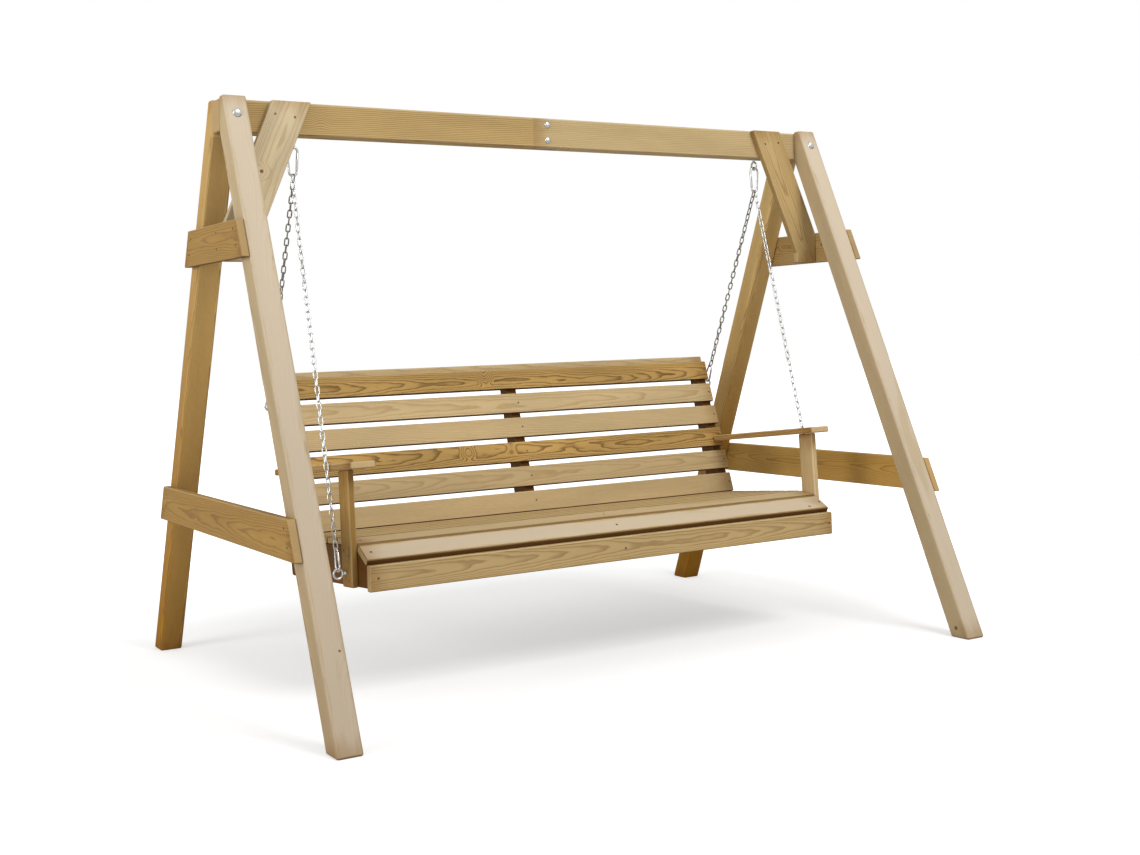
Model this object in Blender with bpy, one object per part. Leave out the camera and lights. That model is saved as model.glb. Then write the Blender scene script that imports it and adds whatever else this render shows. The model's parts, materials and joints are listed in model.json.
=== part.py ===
"""Garden swing: a slatted bench hung on four chains under a timber A-frame.

Metres, +Z up. The beam runs along X, the bench faces -Y, and the origin is on
the ground under the middle of the beam.
"""

import math
from dataclasses import dataclass

import bmesh
import bpy
from mathutils import Matrix, Vector

# Clearances
FIT = 0.0003               # between two pieces that touch
CUT_OVERRUN = 0.010        # how far a cutter runs past what it cuts
GATE_GAP = 0.0005          # between a hook's gate and the ends of its wire

# A-frame
BENCH_CLEARANCE = 0.197    # from the bench's end to the legs' inner faces
FOOT_SPREAD = 1.605        # front toe to rear toe
LEG_HEIGHT = 1.713
LEG_SIZE = 0.070           # square section
LEG_TOP_DEPTH = 0.030      # left of the leg in front of the beam, at its top
LEG_ROUND = 0.006

# Beam, in two halves lapped behind each other
BEAM_DEPTH = 0.070
BEAM_HEIGHT = 0.0955
BEAM_BOTTOM = 1.612
BEAM_ROUND = 0.006
LAP_LEFT_END = 0.0615      # the seam on the front face lies this far left of the middle
LAP_LENGTH = 0.106

# Boards across the outside of each A
CROSS_THICKNESS = 0.022
CROSS_HEIGHT = 0.1075
UPPER_CROSS_BOTTOM = 1.238
LOWER_CROSS_BOTTOM = 0.4485

# Braces on the beam's front face
BRACE_THICKNESS = 0.022
BRACE_WIDTH = 0.110
BRACE_ANGLE = math.radians(22.8)
BRACE_REACH = 0.271        # from the frame's outer face to the brace's inner corner, at the beam's top
BRACE_TOE = 0.035          # height of the short upright cut at its foot

BOARD_ROUND = 0.003

# Bolts
LEG_BOLT_RADIUS = 0.005
LEG_BOLT_HEAD_RADIUS = 0.013
LEG_BOLT_HEAD_HEIGHT = 0.006
LEG_BOLT_HEIGHT = 1.658
LAP_BOLT_RADIUS = 0.004
LAP_BOLT_HEAD_RADIUS = 0.0105
LAP_BOLT_HEAD_HEIGHT = 0.005
LAP_BOLT_X = -0.0085
LAP_BOLT_HEIGHTS = {"upper": 1.686, "lower": 1.6355}
WASHER_THICKNESS = 0.002
NUT_HEIGHT_SHARE = 1.6     # of the shank's radius
NUT_CORNER_SHARE = 1.9     # of the shank's radius
WASHER_SHARE = 2.3         # of the shank's radius

# Seat, measured from the front top edge of the first level slat
SEAT_Y = -0.2425
SEAT_Z = 0.4467
SEAT_FALL = math.radians(4.6)
SECOND_RISE = math.radians(7.0)
NOSE_RISE = math.radians(28.7)
SLAT_WIDTH = 0.068
NOSE_WIDTH = 0.072
SLAT_THICKNESS = 0.020
SLAT_GAP = 0.0077
LEVEL_SLATS = 5
BENCH_LENGTH = 1.660
FASCIA_THICKNESS = 0.020
FASCIA_HEIGHT = 0.0725
FASCIA_DROP = 0.0862       # from the nose slat's front top edge to the fascia's bottom
FASCIA_LEAD = 0.0151       # ahead of the nose slat's front top edge

# Rails and uprights
FRAME_THICKNESS = 0.038
RAIL_RISE = 0.0079         # of the rails' front end above the fascia's bottom
RAIL_FALL = math.radians(3.6)
UPRIGHT_TOP_DEPTH = 0.042
UPRIGHT_TAPER = math.radians(4.9)

# Back
BACK_LEAN = math.radians(18.0)
BACK_BOARD_WIDTH = 0.068
BACK_BOARD_THICKNESS = 0.020
BACK_PITCH = 0.0851
BACK_BOARDS = 6
BACK_TUCK = 0.0046         # how far the last slat reaches in under the lowest board
BACK_LIFT = 0.0026         # from the last slat's rear top edge up to the lowest board
CAP_THICKNESS = 0.022
CAP_WIDTH = 0.045
CAP_RISE = 0.0035          # of the uprights above the highest board, along the lean

# Arms
POST_THICKNESS = 0.020
POST_WIDTH = 0.068
POST_LEAN = math.radians(2.7)
POST_SET_BACK = 0.091      # from the fascia to the middle of the post at the rail's bottom
ARM_THICKNESS = 0.020
ARM_WIDTH = 0.076
ARM_OVERHANG = 0.044       # over the seat, inward from the bench's end
ARM_LEAD = 0.071           # ahead of the middle of the post's foot
ARM_RISE = 0.2229          # of the top face's front above the seat's crest
ARM_FALL = math.radians(5.5)
ARM_RETURN = 0.0654        # past the back boards' front

# Eyes
EYE_RADIUS = 0.0135        # of the ring's centre line
EYE_WIRE = 0.0035          # radius of the ring's wire and of the shank
EYE_NECK = 0.007           # from the ring to the wood
EYE_NECK_RADIUS = 0.0053
TOP_EYE_OUTSET = 0.038     # outward from the bench's end
TOP_EYE_DEPTH = 0.060
FRONT_EYE_DEPTH = 0.050
REAR_EYE_DEPTH = 0.033
FRONT_EYE_RISE = 0.040     # above the foot of the arm post
REAR_EYE_DROP = 0.075      # below the highest board's top edge, down the upright
EYE_SET_BACK = 0.003       # of the bench's eyes behind the middle of their posts and uprights

# Chain links
LINK_WIRE = 0.002          # radius
LINK_LENGTH = 0.0301
LINK_ROOM = 0.0005         # beside the top hook's wire, inside a link
LINK_SEAT = 0.0001         # how deep two links bed into each other
FRONT_LINKS = 50
REAR_LINKS = 31
CHAIN_SPACING = 0.0026     # of the two chains either side of the top hook's middle

LINK_SIDES = 4
WIRE_SIDES = 6
RING_STEPS = 12
WIDE_STEPS = 6             # an even number puts a flat in the middle of the bend
NARROW_STEPS = 4
TURNED_SIDES = 12
SHANK_SIDES = 8
SHARP_ANGLE = math.radians(50)        # edges sharper than this aren't shaded over
LINK_SHARP_ANGLE = math.radians(100)

LEFT = -1
RIGHT = 1
SIDES = {"left": LEFT, "right": RIGHT}


@dataclass(frozen=True)
class Hook:
    """Sizes of a pear-shaped snap hook."""

    length: float          # over all
    wire: float            # radius
    wide: float            # width over the wide end
    narrow: float          # width over the narrow end
    gate_radius: float
    gate_foot: float       # from the narrow end's tangent point to the gate's pin

    @property
    def reach(self):
        """Distance between the wire's centres at the two ends."""
        return self.length - 2 * self.wire

    @property
    def wide_radius(self):
        return self.wide / 2 - self.wire

    @property
    def narrow_radius(self):
        return self.narrow / 2 - self.wire


TOP_HOOK = Hook(length=0.094, wire=0.0035, wide=0.039, narrow=0.030, gate_radius=0.0040, gate_foot=0.006)
LOW_HOOK = Hook(length=0.070, wire=0.0030, wide=0.034, narrow=0.025, gate_radius=0.0035, gate_foot=0.005)


@dataclass(frozen=True)
class Finish:
    """Colour, roughness and metallic value of a material."""

    name: str
    colour: tuple
    roughness: float
    metallic: float


WOOD_PALE = Finish("pressure_treated_pine_pale", (0.62, 0.51, 0.36, 1.0), 0.65, 0.0)
WOOD_OLIVE = Finish("pressure_treated_pine_olive", (0.52, 0.41, 0.22, 1.0), 0.65, 0.0)
WOOD_BROWN = Finish("pressure_treated_pine_brown", (0.38, 0.25, 0.09, 1.0), 0.62, 0.0)
STEEL = Finish("galvanised_steel", (0.55, 0.56, 0.57, 1.0), 0.35, 1.0)

# Sizes and places worked out from the ones above
BENCH_END = BENCH_LENGTH / 2
FRAME_WIDTH = BENCH_LENGTH + 2 * (BENCH_CLEARANCE + LEG_SIZE)
BRACE_TOP_X = FRAME_WIDTH / 2 - BRACE_REACH
ARM_INNER_X = BENCH_END - ARM_OVERHANG
TOP_EYE_X = BENCH_END + TOP_EYE_OUTSET
LINK_WIDTH = 4 * LINK_WIRE + 2 * TOP_HOOK.wire + LINK_ROOM
LEG_SLOPE = (FOOT_SPREAD / 2 - BEAM_DEPTH / 2 - FIT - LEG_TOP_DEPTH) / LEG_HEIGHT
BEAM_TOP = BEAM_BOTTOM + BEAM_HEIGHT
FRAME_OUTER_X = BENCH_END
NOSE_TIP = 2 * SLAT_THICKNESS * math.tan((NOSE_RISE - SECOND_RISE) / 2)
NOSE_Y = SEAT_Y - SLAT_WIDTH * math.cos(SECOND_RISE) - (NOSE_WIDTH + NOSE_TIP) * math.cos(NOSE_RISE)
NOSE_Z = SEAT_Z - SLAT_WIDTH * math.sin(SECOND_RISE) - (NOSE_WIDTH + NOSE_TIP) * math.sin(NOSE_RISE)
FASCIA_FRONT = NOSE_Y - FASCIA_LEAD
FASCIA_BOTTOM = NOSE_Z - FASCIA_DROP
FASCIA_REAR = FASCIA_FRONT + FASCIA_THICKNESS
RAIL_FRONT_BOTTOM = FASCIA_BOTTOM + RAIL_RISE
POST_FOOT_Y = FASCIA_REAR + POST_SET_BACK
ARM_FRONT_Y = POST_FOOT_Y - ARM_LEAD
ARM_FRONT_Z = SEAT_Z + ARM_RISE
BACK_UP = Vector((0, math.sin(BACK_LEAN), math.cos(BACK_LEAN)))
BACK_IN = Vector((0, math.cos(BACK_LEAN), -math.sin(BACK_LEAN)))
SEAT_DEPTH = LEVEL_SLATS * (SLAT_WIDTH + SLAT_GAP)
SEAT_REAR_Y = SEAT_Y + SEAT_DEPTH * math.cos(SEAT_FALL)
SEAT_REAR_Z = SEAT_Z - SEAT_DEPTH * math.sin(SEAT_FALL)
BACK_HEIGHT = (BACK_BOARDS - 1) * BACK_PITCH + BACK_BOARD_WIDTH
BACK_FOOT = Vector((0, SEAT_REAR_Y - BACK_TUCK, SEAT_REAR_Z + BACK_LIFT))
BACK_TOP = BACK_FOOT + BACK_UP * BACK_HEIGHT
EYE_STAND_OFF = EYE_RADIUS + EYE_WIRE + EYE_NECK
LINK_REACH = LINK_LENGTH - 2 * LINK_WIRE
LINK_PITCH = LINK_REACH - 2 * LINK_WIRE + LINK_SEAT
PIVOT_Z = BEAM_BOTTOM - EYE_STAND_OFF - EYE_RADIUS + EYE_WIRE + TOP_HOOK.wire + FIT
HANG_Z = PIVOT_Z - TOP_HOOK.reach


def material(finish):
    """Return the finish's material, made once."""
    found = bpy.data.materials.get(finish.name)
    if found:
        return found
    made = bpy.data.materials.new(finish.name)
    made.use_nodes = True
    made.diffuse_color = finish.colour
    shader = made.node_tree.nodes["Principled BSDF"]
    shader.inputs["Base Color"].default_value = finish.colour
    shader.inputs["Roughness"].default_value = finish.roughness
    shader.inputs["Metallic"].default_value = finish.metallic
    return made


def add_object(name, shape, finish, carrier=None, place=None):
    """Turn a bmesh into a named object, at a place in the world, under its carrier."""
    bmesh.ops.recalc_face_normals(shape, faces=shape.faces)
    mesh = bpy.data.meshes.new(name)
    shape.to_mesh(mesh)
    shape.free()
    made = bpy.data.objects.new(name, mesh)
    bpy.context.collection.objects.link(made)
    mesh.materials.append(material(finish))
    made.matrix_world = place or Matrix()
    if carrier:
        made.parent = carrier
        made.matrix_parent_inverse = Matrix.Translation(-carrier.location)
    return made


def add_cutter(name, shape, place=None):
    """Make an object that only shapes others."""
    cutter = add_object(name, shape, STEEL, place=place)
    cutter.hide_render = True
    cutter.display_type = "WIRE"
    return cutter


def combine(target, other, operation):
    """Cut one object by another, or join it to it."""
    boolean = target.modifiers.new(operation.lower() + "_" + other.name, "BOOLEAN")
    boolean.operation = operation
    boolean.solver = "EXACT"
    boolean.object = other


def soften(target, width, segments=1):
    """Round a piece's sawn edges."""
    bevel = target.modifiers.new("rounded_edges", "BEVEL")
    bevel.width = width
    bevel.segments = segments
    bevel.limit_method = "ANGLE"


def shade_round(target, angle=SHARP_ANGLE):
    """Shade a turned or bent piece smooth, but not over its sharp edges."""
    target.data.shade_smooth()
    target.data.set_sharp_from_angle(angle=angle)


def plate(outline, depth, normal="x"):
    """Extrude a flat outline by a depth that is centred on zero along the normal."""
    spread = {
        "x": lambda a, b, d: (d, a, b),
        "y": lambda a, b, d: (a, d, b),
        "z": lambda a, b, d: (a, b, d),
    }[normal]
    shape = bmesh.new()
    face = shape.faces.new([shape.verts.new(spread(a, b, -depth / 2)) for a, b in outline])
    raised = bmesh.ops.extrude_face_region(shape, geom=[face])["geom"]
    corners = [item for item in raised if isinstance(item, bmesh.types.BMVert)]
    bmesh.ops.translate(shape, verts=corners, vec=spread(0, 0, depth))
    return shape


def block(length, width, height):
    """Make a box centred on the origin, along X, Y and Z."""
    shape = bmesh.new()
    bmesh.ops.create_cube(shape, size=1.0)
    bmesh.ops.scale(shape, verts=shape.verts, vec=(length, width, height))
    return shape


def turned(profile, sides=TURNED_SIDES, hexagonal=()):
    """Turn a profile of (height, radius) pairs about Z, with closed ends.

    The rings whose numbers are in hexagonal are six-sided, with that radius at the corners.
    """
    shape = bmesh.new()
    rings = []
    for number, (height, radius) in enumerate(profile):
        ring = []
        for step in range(sides):
            angle = math.tau * step / sides
            reach = radius
            if number in hexagonal:
                off_flat = (angle % (math.pi / 3)) - math.pi / 6
                reach = radius * math.cos(math.pi / 6) / math.cos(off_flat)
            ring.append(shape.verts.new((reach * math.cos(angle), reach * math.sin(angle), height)))
        rings.append(ring)
    for lower, upper in zip(rings, rings[1:]):
        join_rings(shape, lower, upper)
    shape.faces.new(rings[0])
    shape.faces.new(rings[-1])
    return shape


def join_rings(shape, first, second):
    """Skin the space between two rings of as many corners."""
    count = len(first)
    for step in range(count):
        after = (step + 1) % count
        shape.faces.new((first[step], first[after], second[after], second[step]))


def bend_wire(shape, path, radius, sides, closed, place=None):
    """Add round wire along a path of (across, up) points in the local XZ plane.

    At each bend the section lies in the mitre plane, so every run keeps its radius.
    """
    place = place or Matrix()
    points = [Vector((across, 0, up)) for across, up in path]
    count = len(points)
    rings = []
    for number, point in enumerate(points):
        before = points[number - 1] if closed or number else None
        after = points[(number + 1) % count] if closed or number + 1 < count else None
        arriving = (point - before).normalized() if before else (after - point).normalized()
        leaving = (after - point).normalized() if after else arriving
        along = (arriving + leaving).normalized()
        across = Vector((along.z, 0, -along.x)) / along.dot(arriving)
        ring = []
        for step in range(sides):
            angle = math.tau * step / sides
            offset = across * math.cos(angle) + Vector((0, math.sin(angle), 0))
            ring.append(shape.verts.new(place @ (point + offset * radius)))
        rings.append(ring)
    for first, second in zip(rings, rings[1:]):
        join_rings(shape, first, second)
    if closed:
        join_rings(shape, rings[-1], rings[0])
    else:
        shape.faces.new(rings[0])
        shape.faces.new(rings[-1])


def arc(centre, radius, start, end, steps):
    """Return points whose runs touch a round arc from the outside, ends included."""
    step = (end - start) / steps
    outer = radius / math.cos(step / 2)
    angles = [start] + [start + step * (number + 0.5) for number in range(steps)] + [end]
    radii = [radius] + [outer] * steps + [radius]
    return [
        (centre[0] + reach * math.cos(angle), centre[1] + reach * math.sin(angle))
        for angle, reach in zip(angles, radii)
    ]


def leg_front(height):
    """Distance from the middle plane to the outer slope of the legs at a height."""
    return FOOT_SPREAD / 2 - LEG_SLOPE * height


def build_legs():
    """Four legs, cut to stand flat and to lie on the beam's two faces."""
    toe = FOOT_SPREAD / 2
    heel = toe - LEG_SIZE / math.cos(math.atan(LEG_SLOPE))
    seat = BEAM_DEPTH / 2 + FIT
    outline = [
        (-toe, 0),
        (-heel, 0),
        (-seat, (heel - seat) / LEG_SLOPE),
        (-seat, LEG_HEIGHT),
        (-seat - LEG_TOP_DEPTH, LEG_HEIGHT),
    ]
    legs = {}
    for side, sign in SIDES.items():
        for end, turn in (("front", 0), ("rear", math.pi)):
            place = Matrix.Translation((sign * (FRAME_WIDTH - LEG_SIZE) / 2, 0, 0)) @ Matrix.Rotation(turn, 4, "Z")
            leg = add_object(f"leg_{end}_{side}", plate(outline, LEG_SIZE), WOOD_PALE, place=place)
            soften(leg, LEG_ROUND, 2)
            legs[end, side] = leg
    return legs


def build_beams():
    """Two half beams with a lap, the right one in front."""
    lap_right_end = LAP_LENGTH - LAP_LEFT_END
    middle = BEAM_BOTTOM + BEAM_HEIGHT / 2
    ends = {"left": (-FRAME_WIDTH / 2, lap_right_end), "right": (-LAP_LEFT_END + FIT, FRAME_WIDTH / 2)}
    laps = {"left": (-LAP_LEFT_END, LEFT), "right": (lap_right_end + FIT, RIGHT)}
    beams = {}
    for side, (start, end) in ends.items():
        shape = block(end - start, BEAM_DEPTH, BEAM_HEIGHT)
        place = Matrix.Translation(((start + end) / 2, 0, middle))
        beam = add_object(f"beam_{side}", shape, WOOD_OLIVE, place=place)
        soften(beam, BEAM_ROUND, 2)
        shoulder, face = laps[side]
        length = LAP_LENGTH + CUT_OVERRUN
        depth = BEAM_DEPTH / 2 + CUT_OVERRUN
        place = Matrix.Translation((shoulder - face * length / 2, face * (depth - FIT) / 2, middle))
        cutter = add_cutter(f"lap_cut_{side}", block(length, depth, BEAM_HEIGHT + CUT_OVERRUN), place)
        combine(beam, cutter, "DIFFERENCE")
        beams[side] = beam
    return beams


def build_cross_boards():
    """Boards across the outside of each A, their ends in line with the legs' outer slopes."""
    for level, bottom in (("upper", UPPER_CROSS_BOTTOM), ("lower", LOWER_CROSS_BOTTOM)):
        top = bottom + CROSS_HEIGHT
        outline = [
            (-leg_front(bottom), bottom),
            (leg_front(bottom), bottom),
            (leg_front(top), top),
            (-leg_front(top), top),
        ]
        for side, sign in SIDES.items():
            middle = FRAME_WIDTH / 2 + FIT + CROSS_THICKNESS / 2
            board = add_object(
                f"cross_board_{level}_{side}",
                plate(outline, CROSS_THICKNESS),
                WOOD_BROWN if sign == RIGHT else WOOD_OLIVE,
                place=Matrix.Translation((sign * middle, 0, 0)),
            )
            soften(board, BOARD_ROUND)


def build_braces():
    """Slanted boards from the beam's front face to the upper cross boards."""
    slope = math.tan(BRACE_ANGLE)
    outer_top = BRACE_TOP_X + BRACE_WIDTH / math.cos(BRACE_ANGLE)
    wall = FRAME_WIDTH / 2
    toe_x = BRACE_TOP_X + slope * (BEAM_TOP - UPPER_CROSS_BOTTOM - BRACE_TOE)
    outline = [
        (BRACE_TOP_X, BEAM_TOP),
        (outer_top, BEAM_TOP),
        (wall, BEAM_TOP - (wall - outer_top) / slope),
        (wall, UPPER_CROSS_BOTTOM),
        (toe_x, UPPER_CROSS_BOTTOM),
        (toe_x, UPPER_CROSS_BOTTOM + BRACE_TOE),
    ]
    middle = BEAM_DEPTH / 2 + FIT + BRACE_THICKNESS / 2
    for side, sign in SIDES.items():
        handed = [(sign * across, up) for across, up in outline]
        place = Matrix.Translation((0, -middle, 0))
        brace = add_object(f"brace_{side}", plate(handed, BRACE_THICKNESS, "y"), WOOD_PALE, place=place)
        soften(brace, BOARD_ROUND)


def bolt(radius, head_radius, head_height, grip):
    """Dome-headed bolt along Z, its head's seat at zero and its washer and nut past the grip."""
    nut = radius * NUT_CORNER_SHARE
    washer_top = grip + FIT + WASHER_THICKNESS
    nut_top = washer_top + radius * NUT_HEIGHT_SHARE
    shoulder_share = 0.75
    crown_share = 0.35
    profile = [
        (-head_height, head_radius * crown_share),
        (-head_height * shoulder_share, head_radius * shoulder_share),
        (-FIT, head_radius),
        (-FIT, radius),
        (grip + FIT, radius),
        (grip + FIT, radius * WASHER_SHARE),
        (washer_top, radius * WASHER_SHARE),
        (washer_top, nut),
        (nut_top, nut),
        (nut_top, radius),
        (nut_top + radius, radius),
    ]
    return turned(profile, hexagonal=(7, 8))


def hole(radius, start, end):
    """Cutter for a round hole along Z."""
    return turned([(start, radius + FIT), (end, radius + FIT)])


def build_bolts(legs, beams):
    """One bolt through both legs and the beam at each end, and two through the lap."""
    grip = 2 * leg_front(LEG_BOLT_HEIGHT)
    across = Matrix.Rotation(-math.pi / 2, 4, "X")
    for side, sign in SIDES.items():
        seat = (sign * (FRAME_WIDTH - LEG_SIZE) / 2, -grip / 2, LEG_BOLT_HEIGHT)
        place = Matrix.Translation(seat) @ across
        shape = bolt(LEG_BOLT_RADIUS, LEG_BOLT_HEAD_RADIUS, LEG_BOLT_HEAD_HEIGHT, grip)
        shade_round(add_object(f"leg_bolt_{side}", shape, STEEL, place=place))
        bore = add_cutter(f"leg_bore_{side}", hole(LEG_BOLT_RADIUS, -CUT_OVERRUN, grip + CUT_OVERRUN), place)
        recess = LEG_BOLT_HEAD_RADIUS + FIT
        overrun = LEG_BOLT_HEAD_RADIUS
        for end, start, stop in (("front", -overrun, 0), ("rear", grip, grip + overrun)):
            spot = add_cutter(f"spot_face_{end}_{side}", hole(recess, start, stop), place)
            combine(legs[end, side], spot, "DIFFERENCE")
            combine(legs[end, side], bore, "DIFFERENCE")
        combine(beams[side], bore, "DIFFERENCE")
    for level, height in LAP_BOLT_HEIGHTS.items():
        place = Matrix.Translation((LAP_BOLT_X, -BEAM_DEPTH / 2, height)) @ across
        shape = bolt(LAP_BOLT_RADIUS, LAP_BOLT_HEAD_RADIUS, LAP_BOLT_HEAD_HEIGHT, BEAM_DEPTH)
        shade_round(add_object(f"lap_bolt_{level}", shape, STEEL, place=place))
        bore = add_cutter(f"lap_bore_{level}", hole(LAP_BOLT_RADIUS, -CUT_OVERRUN, BEAM_DEPTH + CUT_OVERRUN), place)
        for beam in beams.values():
            combine(beam, bore, "DIFFERENCE")


def eye_path():
    """Ring whose flats touch the round centre line, one flat at each quarter."""
    outer = EYE_RADIUS / math.cos(math.pi / RING_STEPS)
    angles = [math.tau * (step + 0.5) / RING_STEPS for step in range(RING_STEPS)]
    return [(outer * math.cos(angle), outer * math.sin(angle)) for angle in angles]


def build_eye(name, place, depth, woods, carrier=None):
    """Ring in the local XZ plane with its shank up Z, and its hole in each wood."""
    ring = bmesh.new()
    bend_wire(ring, eye_path(), EYE_WIRE, WIRE_SIDES, closed=True)
    eye = add_object(name, ring, STEEL, carrier, place)
    face = EYE_STAND_OFF
    root_share = 0.8
    stem = [
        (EYE_RADIUS, EYE_WIRE * root_share),
        (EYE_RADIUS + EYE_WIRE, EYE_WIRE * root_share),
        (face - EYE_NECK / 2, EYE_NECK_RADIUS),
        (face - FIT, EYE_NECK_RADIUS),
        (face - FIT, EYE_WIRE),
        (face + depth, EYE_WIRE),
    ]
    combine(eye, add_cutter(name + "_stem", turned(stem, SHANK_SIDES), place), "UNION")
    shade_round(eye)
    sink = turned([(face - CUT_OVERRUN, EYE_WIRE + FIT), (face + depth + FIT, EYE_WIRE + FIT)], SHANK_SIDES)
    sink_cutter = add_cutter(name + "_hole", sink, place)
    for wood in woods:
        combine(wood, sink_cutter, "DIFFERENCE")
    return eye


def build_top_eyes(beams):
    """Eyes under the beam, their rings in the swing's plane."""
    for side, sign in SIDES.items():
        centre = (sign * TOP_EYE_X, 0, BEAM_BOTTOM - EYE_STAND_OFF)
        place = Matrix.Translation(centre) @ Matrix.Rotation(math.pi / 2, 4, "Z")
        build_eye(f"top_eye_{side}", place, TOP_EYE_DEPTH, [beams[side]])


def rise(start, angle, distance):
    """Return the (y, z) point a distance rearward from a start, at an angle upward."""
    return start[0] + distance * math.cos(angle), start[1] + distance * math.sin(angle)


def seat_lines():
    """Front top edge, angle and width of every seat slat, front to rear."""
    level = (SEAT_Y, SEAT_Z)
    second = rise(level, SECOND_RISE, -SLAT_WIDTH)
    nose = (NOSE_Y, NOSE_Z)
    lines = [(nose, NOSE_RISE, NOSE_WIDTH), (second, SECOND_RISE, SLAT_WIDTH)]
    for number in range(LEVEL_SLATS):
        start = rise(level, -SEAT_FALL, SLAT_GAP + number * (SLAT_WIDTH + SLAT_GAP))
        lines.append((start, -SEAT_FALL, SLAT_WIDTH))
    return lines


def under_seat(corner, before, after):
    """Corner of the rails' top edge below a corner of the seat, between two slopes."""
    depth = SLAT_THICKNESS + FIT
    bend = (after - before) / 2
    middle = (before + after) / 2
    reach = depth / math.cos(bend)
    return corner[0] + reach * math.sin(middle), corner[1] - reach * math.cos(middle)


def rail_bottom(y):
    """Height of the rails' lower edge."""
    return RAIL_FRONT_BOTTOM - (y - FASCIA_REAR) * math.tan(RAIL_FALL)


def upright_front(z):
    """Y of the uprights' front edge, behind the back boards."""
    point = BACK_TOP + BACK_IN * (BACK_BOARD_THICKNESS + FIT)
    return point.y + (z - point.z) * math.tan(BACK_LEAN)


def upright_top():
    """Front top corner of the uprights."""
    return BACK_TOP + BACK_IN * (BACK_BOARD_THICKNESS + FIT) + BACK_UP * CAP_RISE


def upright_outline():
    """Upright from its square top down to the rail's lower edge, wider at the foot."""
    top = upright_top()
    top_rear = top + BACK_IN * UPRIGHT_TOP_DEPTH
    rear_slope = math.tan(BACK_LEAN - UPRIGHT_TAPER)
    rail_slope = math.tan(RAIL_FALL)

    def foot(point, slope):
        """Follow an edge down to the rail's lower edge."""
        fall = (point.z - rail_bottom(point.y)) / (1 + slope * rail_slope)
        return point.y - slope * fall, point.z - fall

    return [
        (top.y, top.z),
        foot(top, math.tan(BACK_LEAN)),
        foot(top_rear, rear_slope),
        (top_rear.y, top_rear.z),
    ]


def rail_outline():
    """Rail that follows the seat's curve above and ends at the uprights' rear edge."""
    front = FASCIA_REAR + FIT
    lines = seat_lines()
    (nose, nose_rise, _), (second, second_rise, _) = lines[:2]
    nose_corner = under_seat(nose, nose_rise, nose_rise)
    front_top = nose_corner[1] + (front - nose_corner[0]) * math.tan(nose_rise)
    knee = under_seat(second, nose_rise, second_rise)
    crest = under_seat((SEAT_Y, SEAT_Z), second_rise, -SEAT_FALL)
    _, _, heel, top_rear = upright_outline()
    rear_slope = (top_rear[0] - heel[0]) / (top_rear[1] - heel[1])
    fall = math.tan(SEAT_FALL)
    rear_y = (heel[0] + rear_slope * (crest[1] + fall * crest[0] - heel[1])) / (1 + rear_slope * fall)
    rear_top = (rear_y, crest[1] - (rear_y - crest[0]) * fall)
    return [(front, rail_bottom(front)), heel, rear_top, crest, knee, (front, front_top)]


def build_frames(bench):
    """Three rails and three uprights, halved into each other at the seat's rear."""
    rail_shape = rail_outline()
    upright_shape = upright_outline()
    outer = FRAME_OUTER_X - FRAME_THICKNESS / 2
    half = FRAME_THICKNESS / 2
    frames = {}
    for side, middle in (("left", -outer), ("middle", 0), ("right", outer)):
        inward = LEFT if side == "right" else RIGHT
        at = bench @ Matrix.Translation((middle, 0, 0))
        rail = add_object(f"seat_rail_{side}", plate(rail_shape, FRAME_THICKNESS), WOOD_OLIVE, SWING, at)
        upright = add_object(f"back_upright_{side}", plate(upright_shape, FRAME_THICKNESS), WOOD_BROWN, SWING, at)
        soften(rail, BOARD_ROUND)
        soften(upright, BOARD_ROUND)
        depth = half + CUT_OVERRUN
        shift = (depth - FIT) / 2
        rail_cut = rail_lap(upright_shape, depth)
        upright_cut = upright_lap(rail_shape, depth)
        outside = at @ Matrix.Translation((-inward * shift, 0, 0))
        inside = at @ Matrix.Translation((inward * shift, 0, 0))
        combine(rail, add_cutter(f"rail_halving_{side}", rail_cut, outside), "DIFFERENCE")
        combine(upright, add_cutter(f"upright_halving_{side}", upright_cut, inside), "DIFFERENCE")
        frames["rail", side] = rail
        frames["upright", side] = upright
    return frames


def rail_lap(outline, depth):
    """Cutter for a rail's halving: the upright, let out by the fit at its front shoulder."""
    top, toe, heel, top_rear = outline
    past = CUT_OVERRUN
    slope = (top[0] - toe[0]) / (top[1] - toe[1])
    region = [
        (top[0] - FIT, top[1]),
        (toe[0] - FIT - slope * past, toe[1] - past),
        (heel[0] + past, heel[1] - past),
        (top_rear[0] + past, top_rear[1]),
    ]
    return plate(region, depth)


def upright_lap(outline, depth):
    """Cutter for an upright's halving: the rail, let out by the fit at its top edge."""
    front, heel, rear_top, crest = outline[:4]
    past = CUT_OVERRUN
    region = [
        (front[0], front[1] - past),
        (heel[0] + past, heel[1] - past),
        (rear_top[0] + past, rear_top[1] + FIT - past * math.tan(SEAT_FALL)),
        (crest[0], crest[1] + FIT),
    ]
    return plate(region, depth)


def tilted_board(name, edge, angle, width, thickness, length, finish, bench):
    """Board along X with its front top edge at (y, z), rising rearward at an angle."""
    place = (
        bench
        @ Matrix.Translation((0, edge[0], edge[1]))
        @ Matrix.Rotation(angle, 4, "X")
        @ Matrix.Translation((0, width / 2, -thickness / 2))
    )
    board = add_object(name, block(length, width, thickness), finish, SWING, place)
    soften(board, BOARD_ROUND)
    return board


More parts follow.
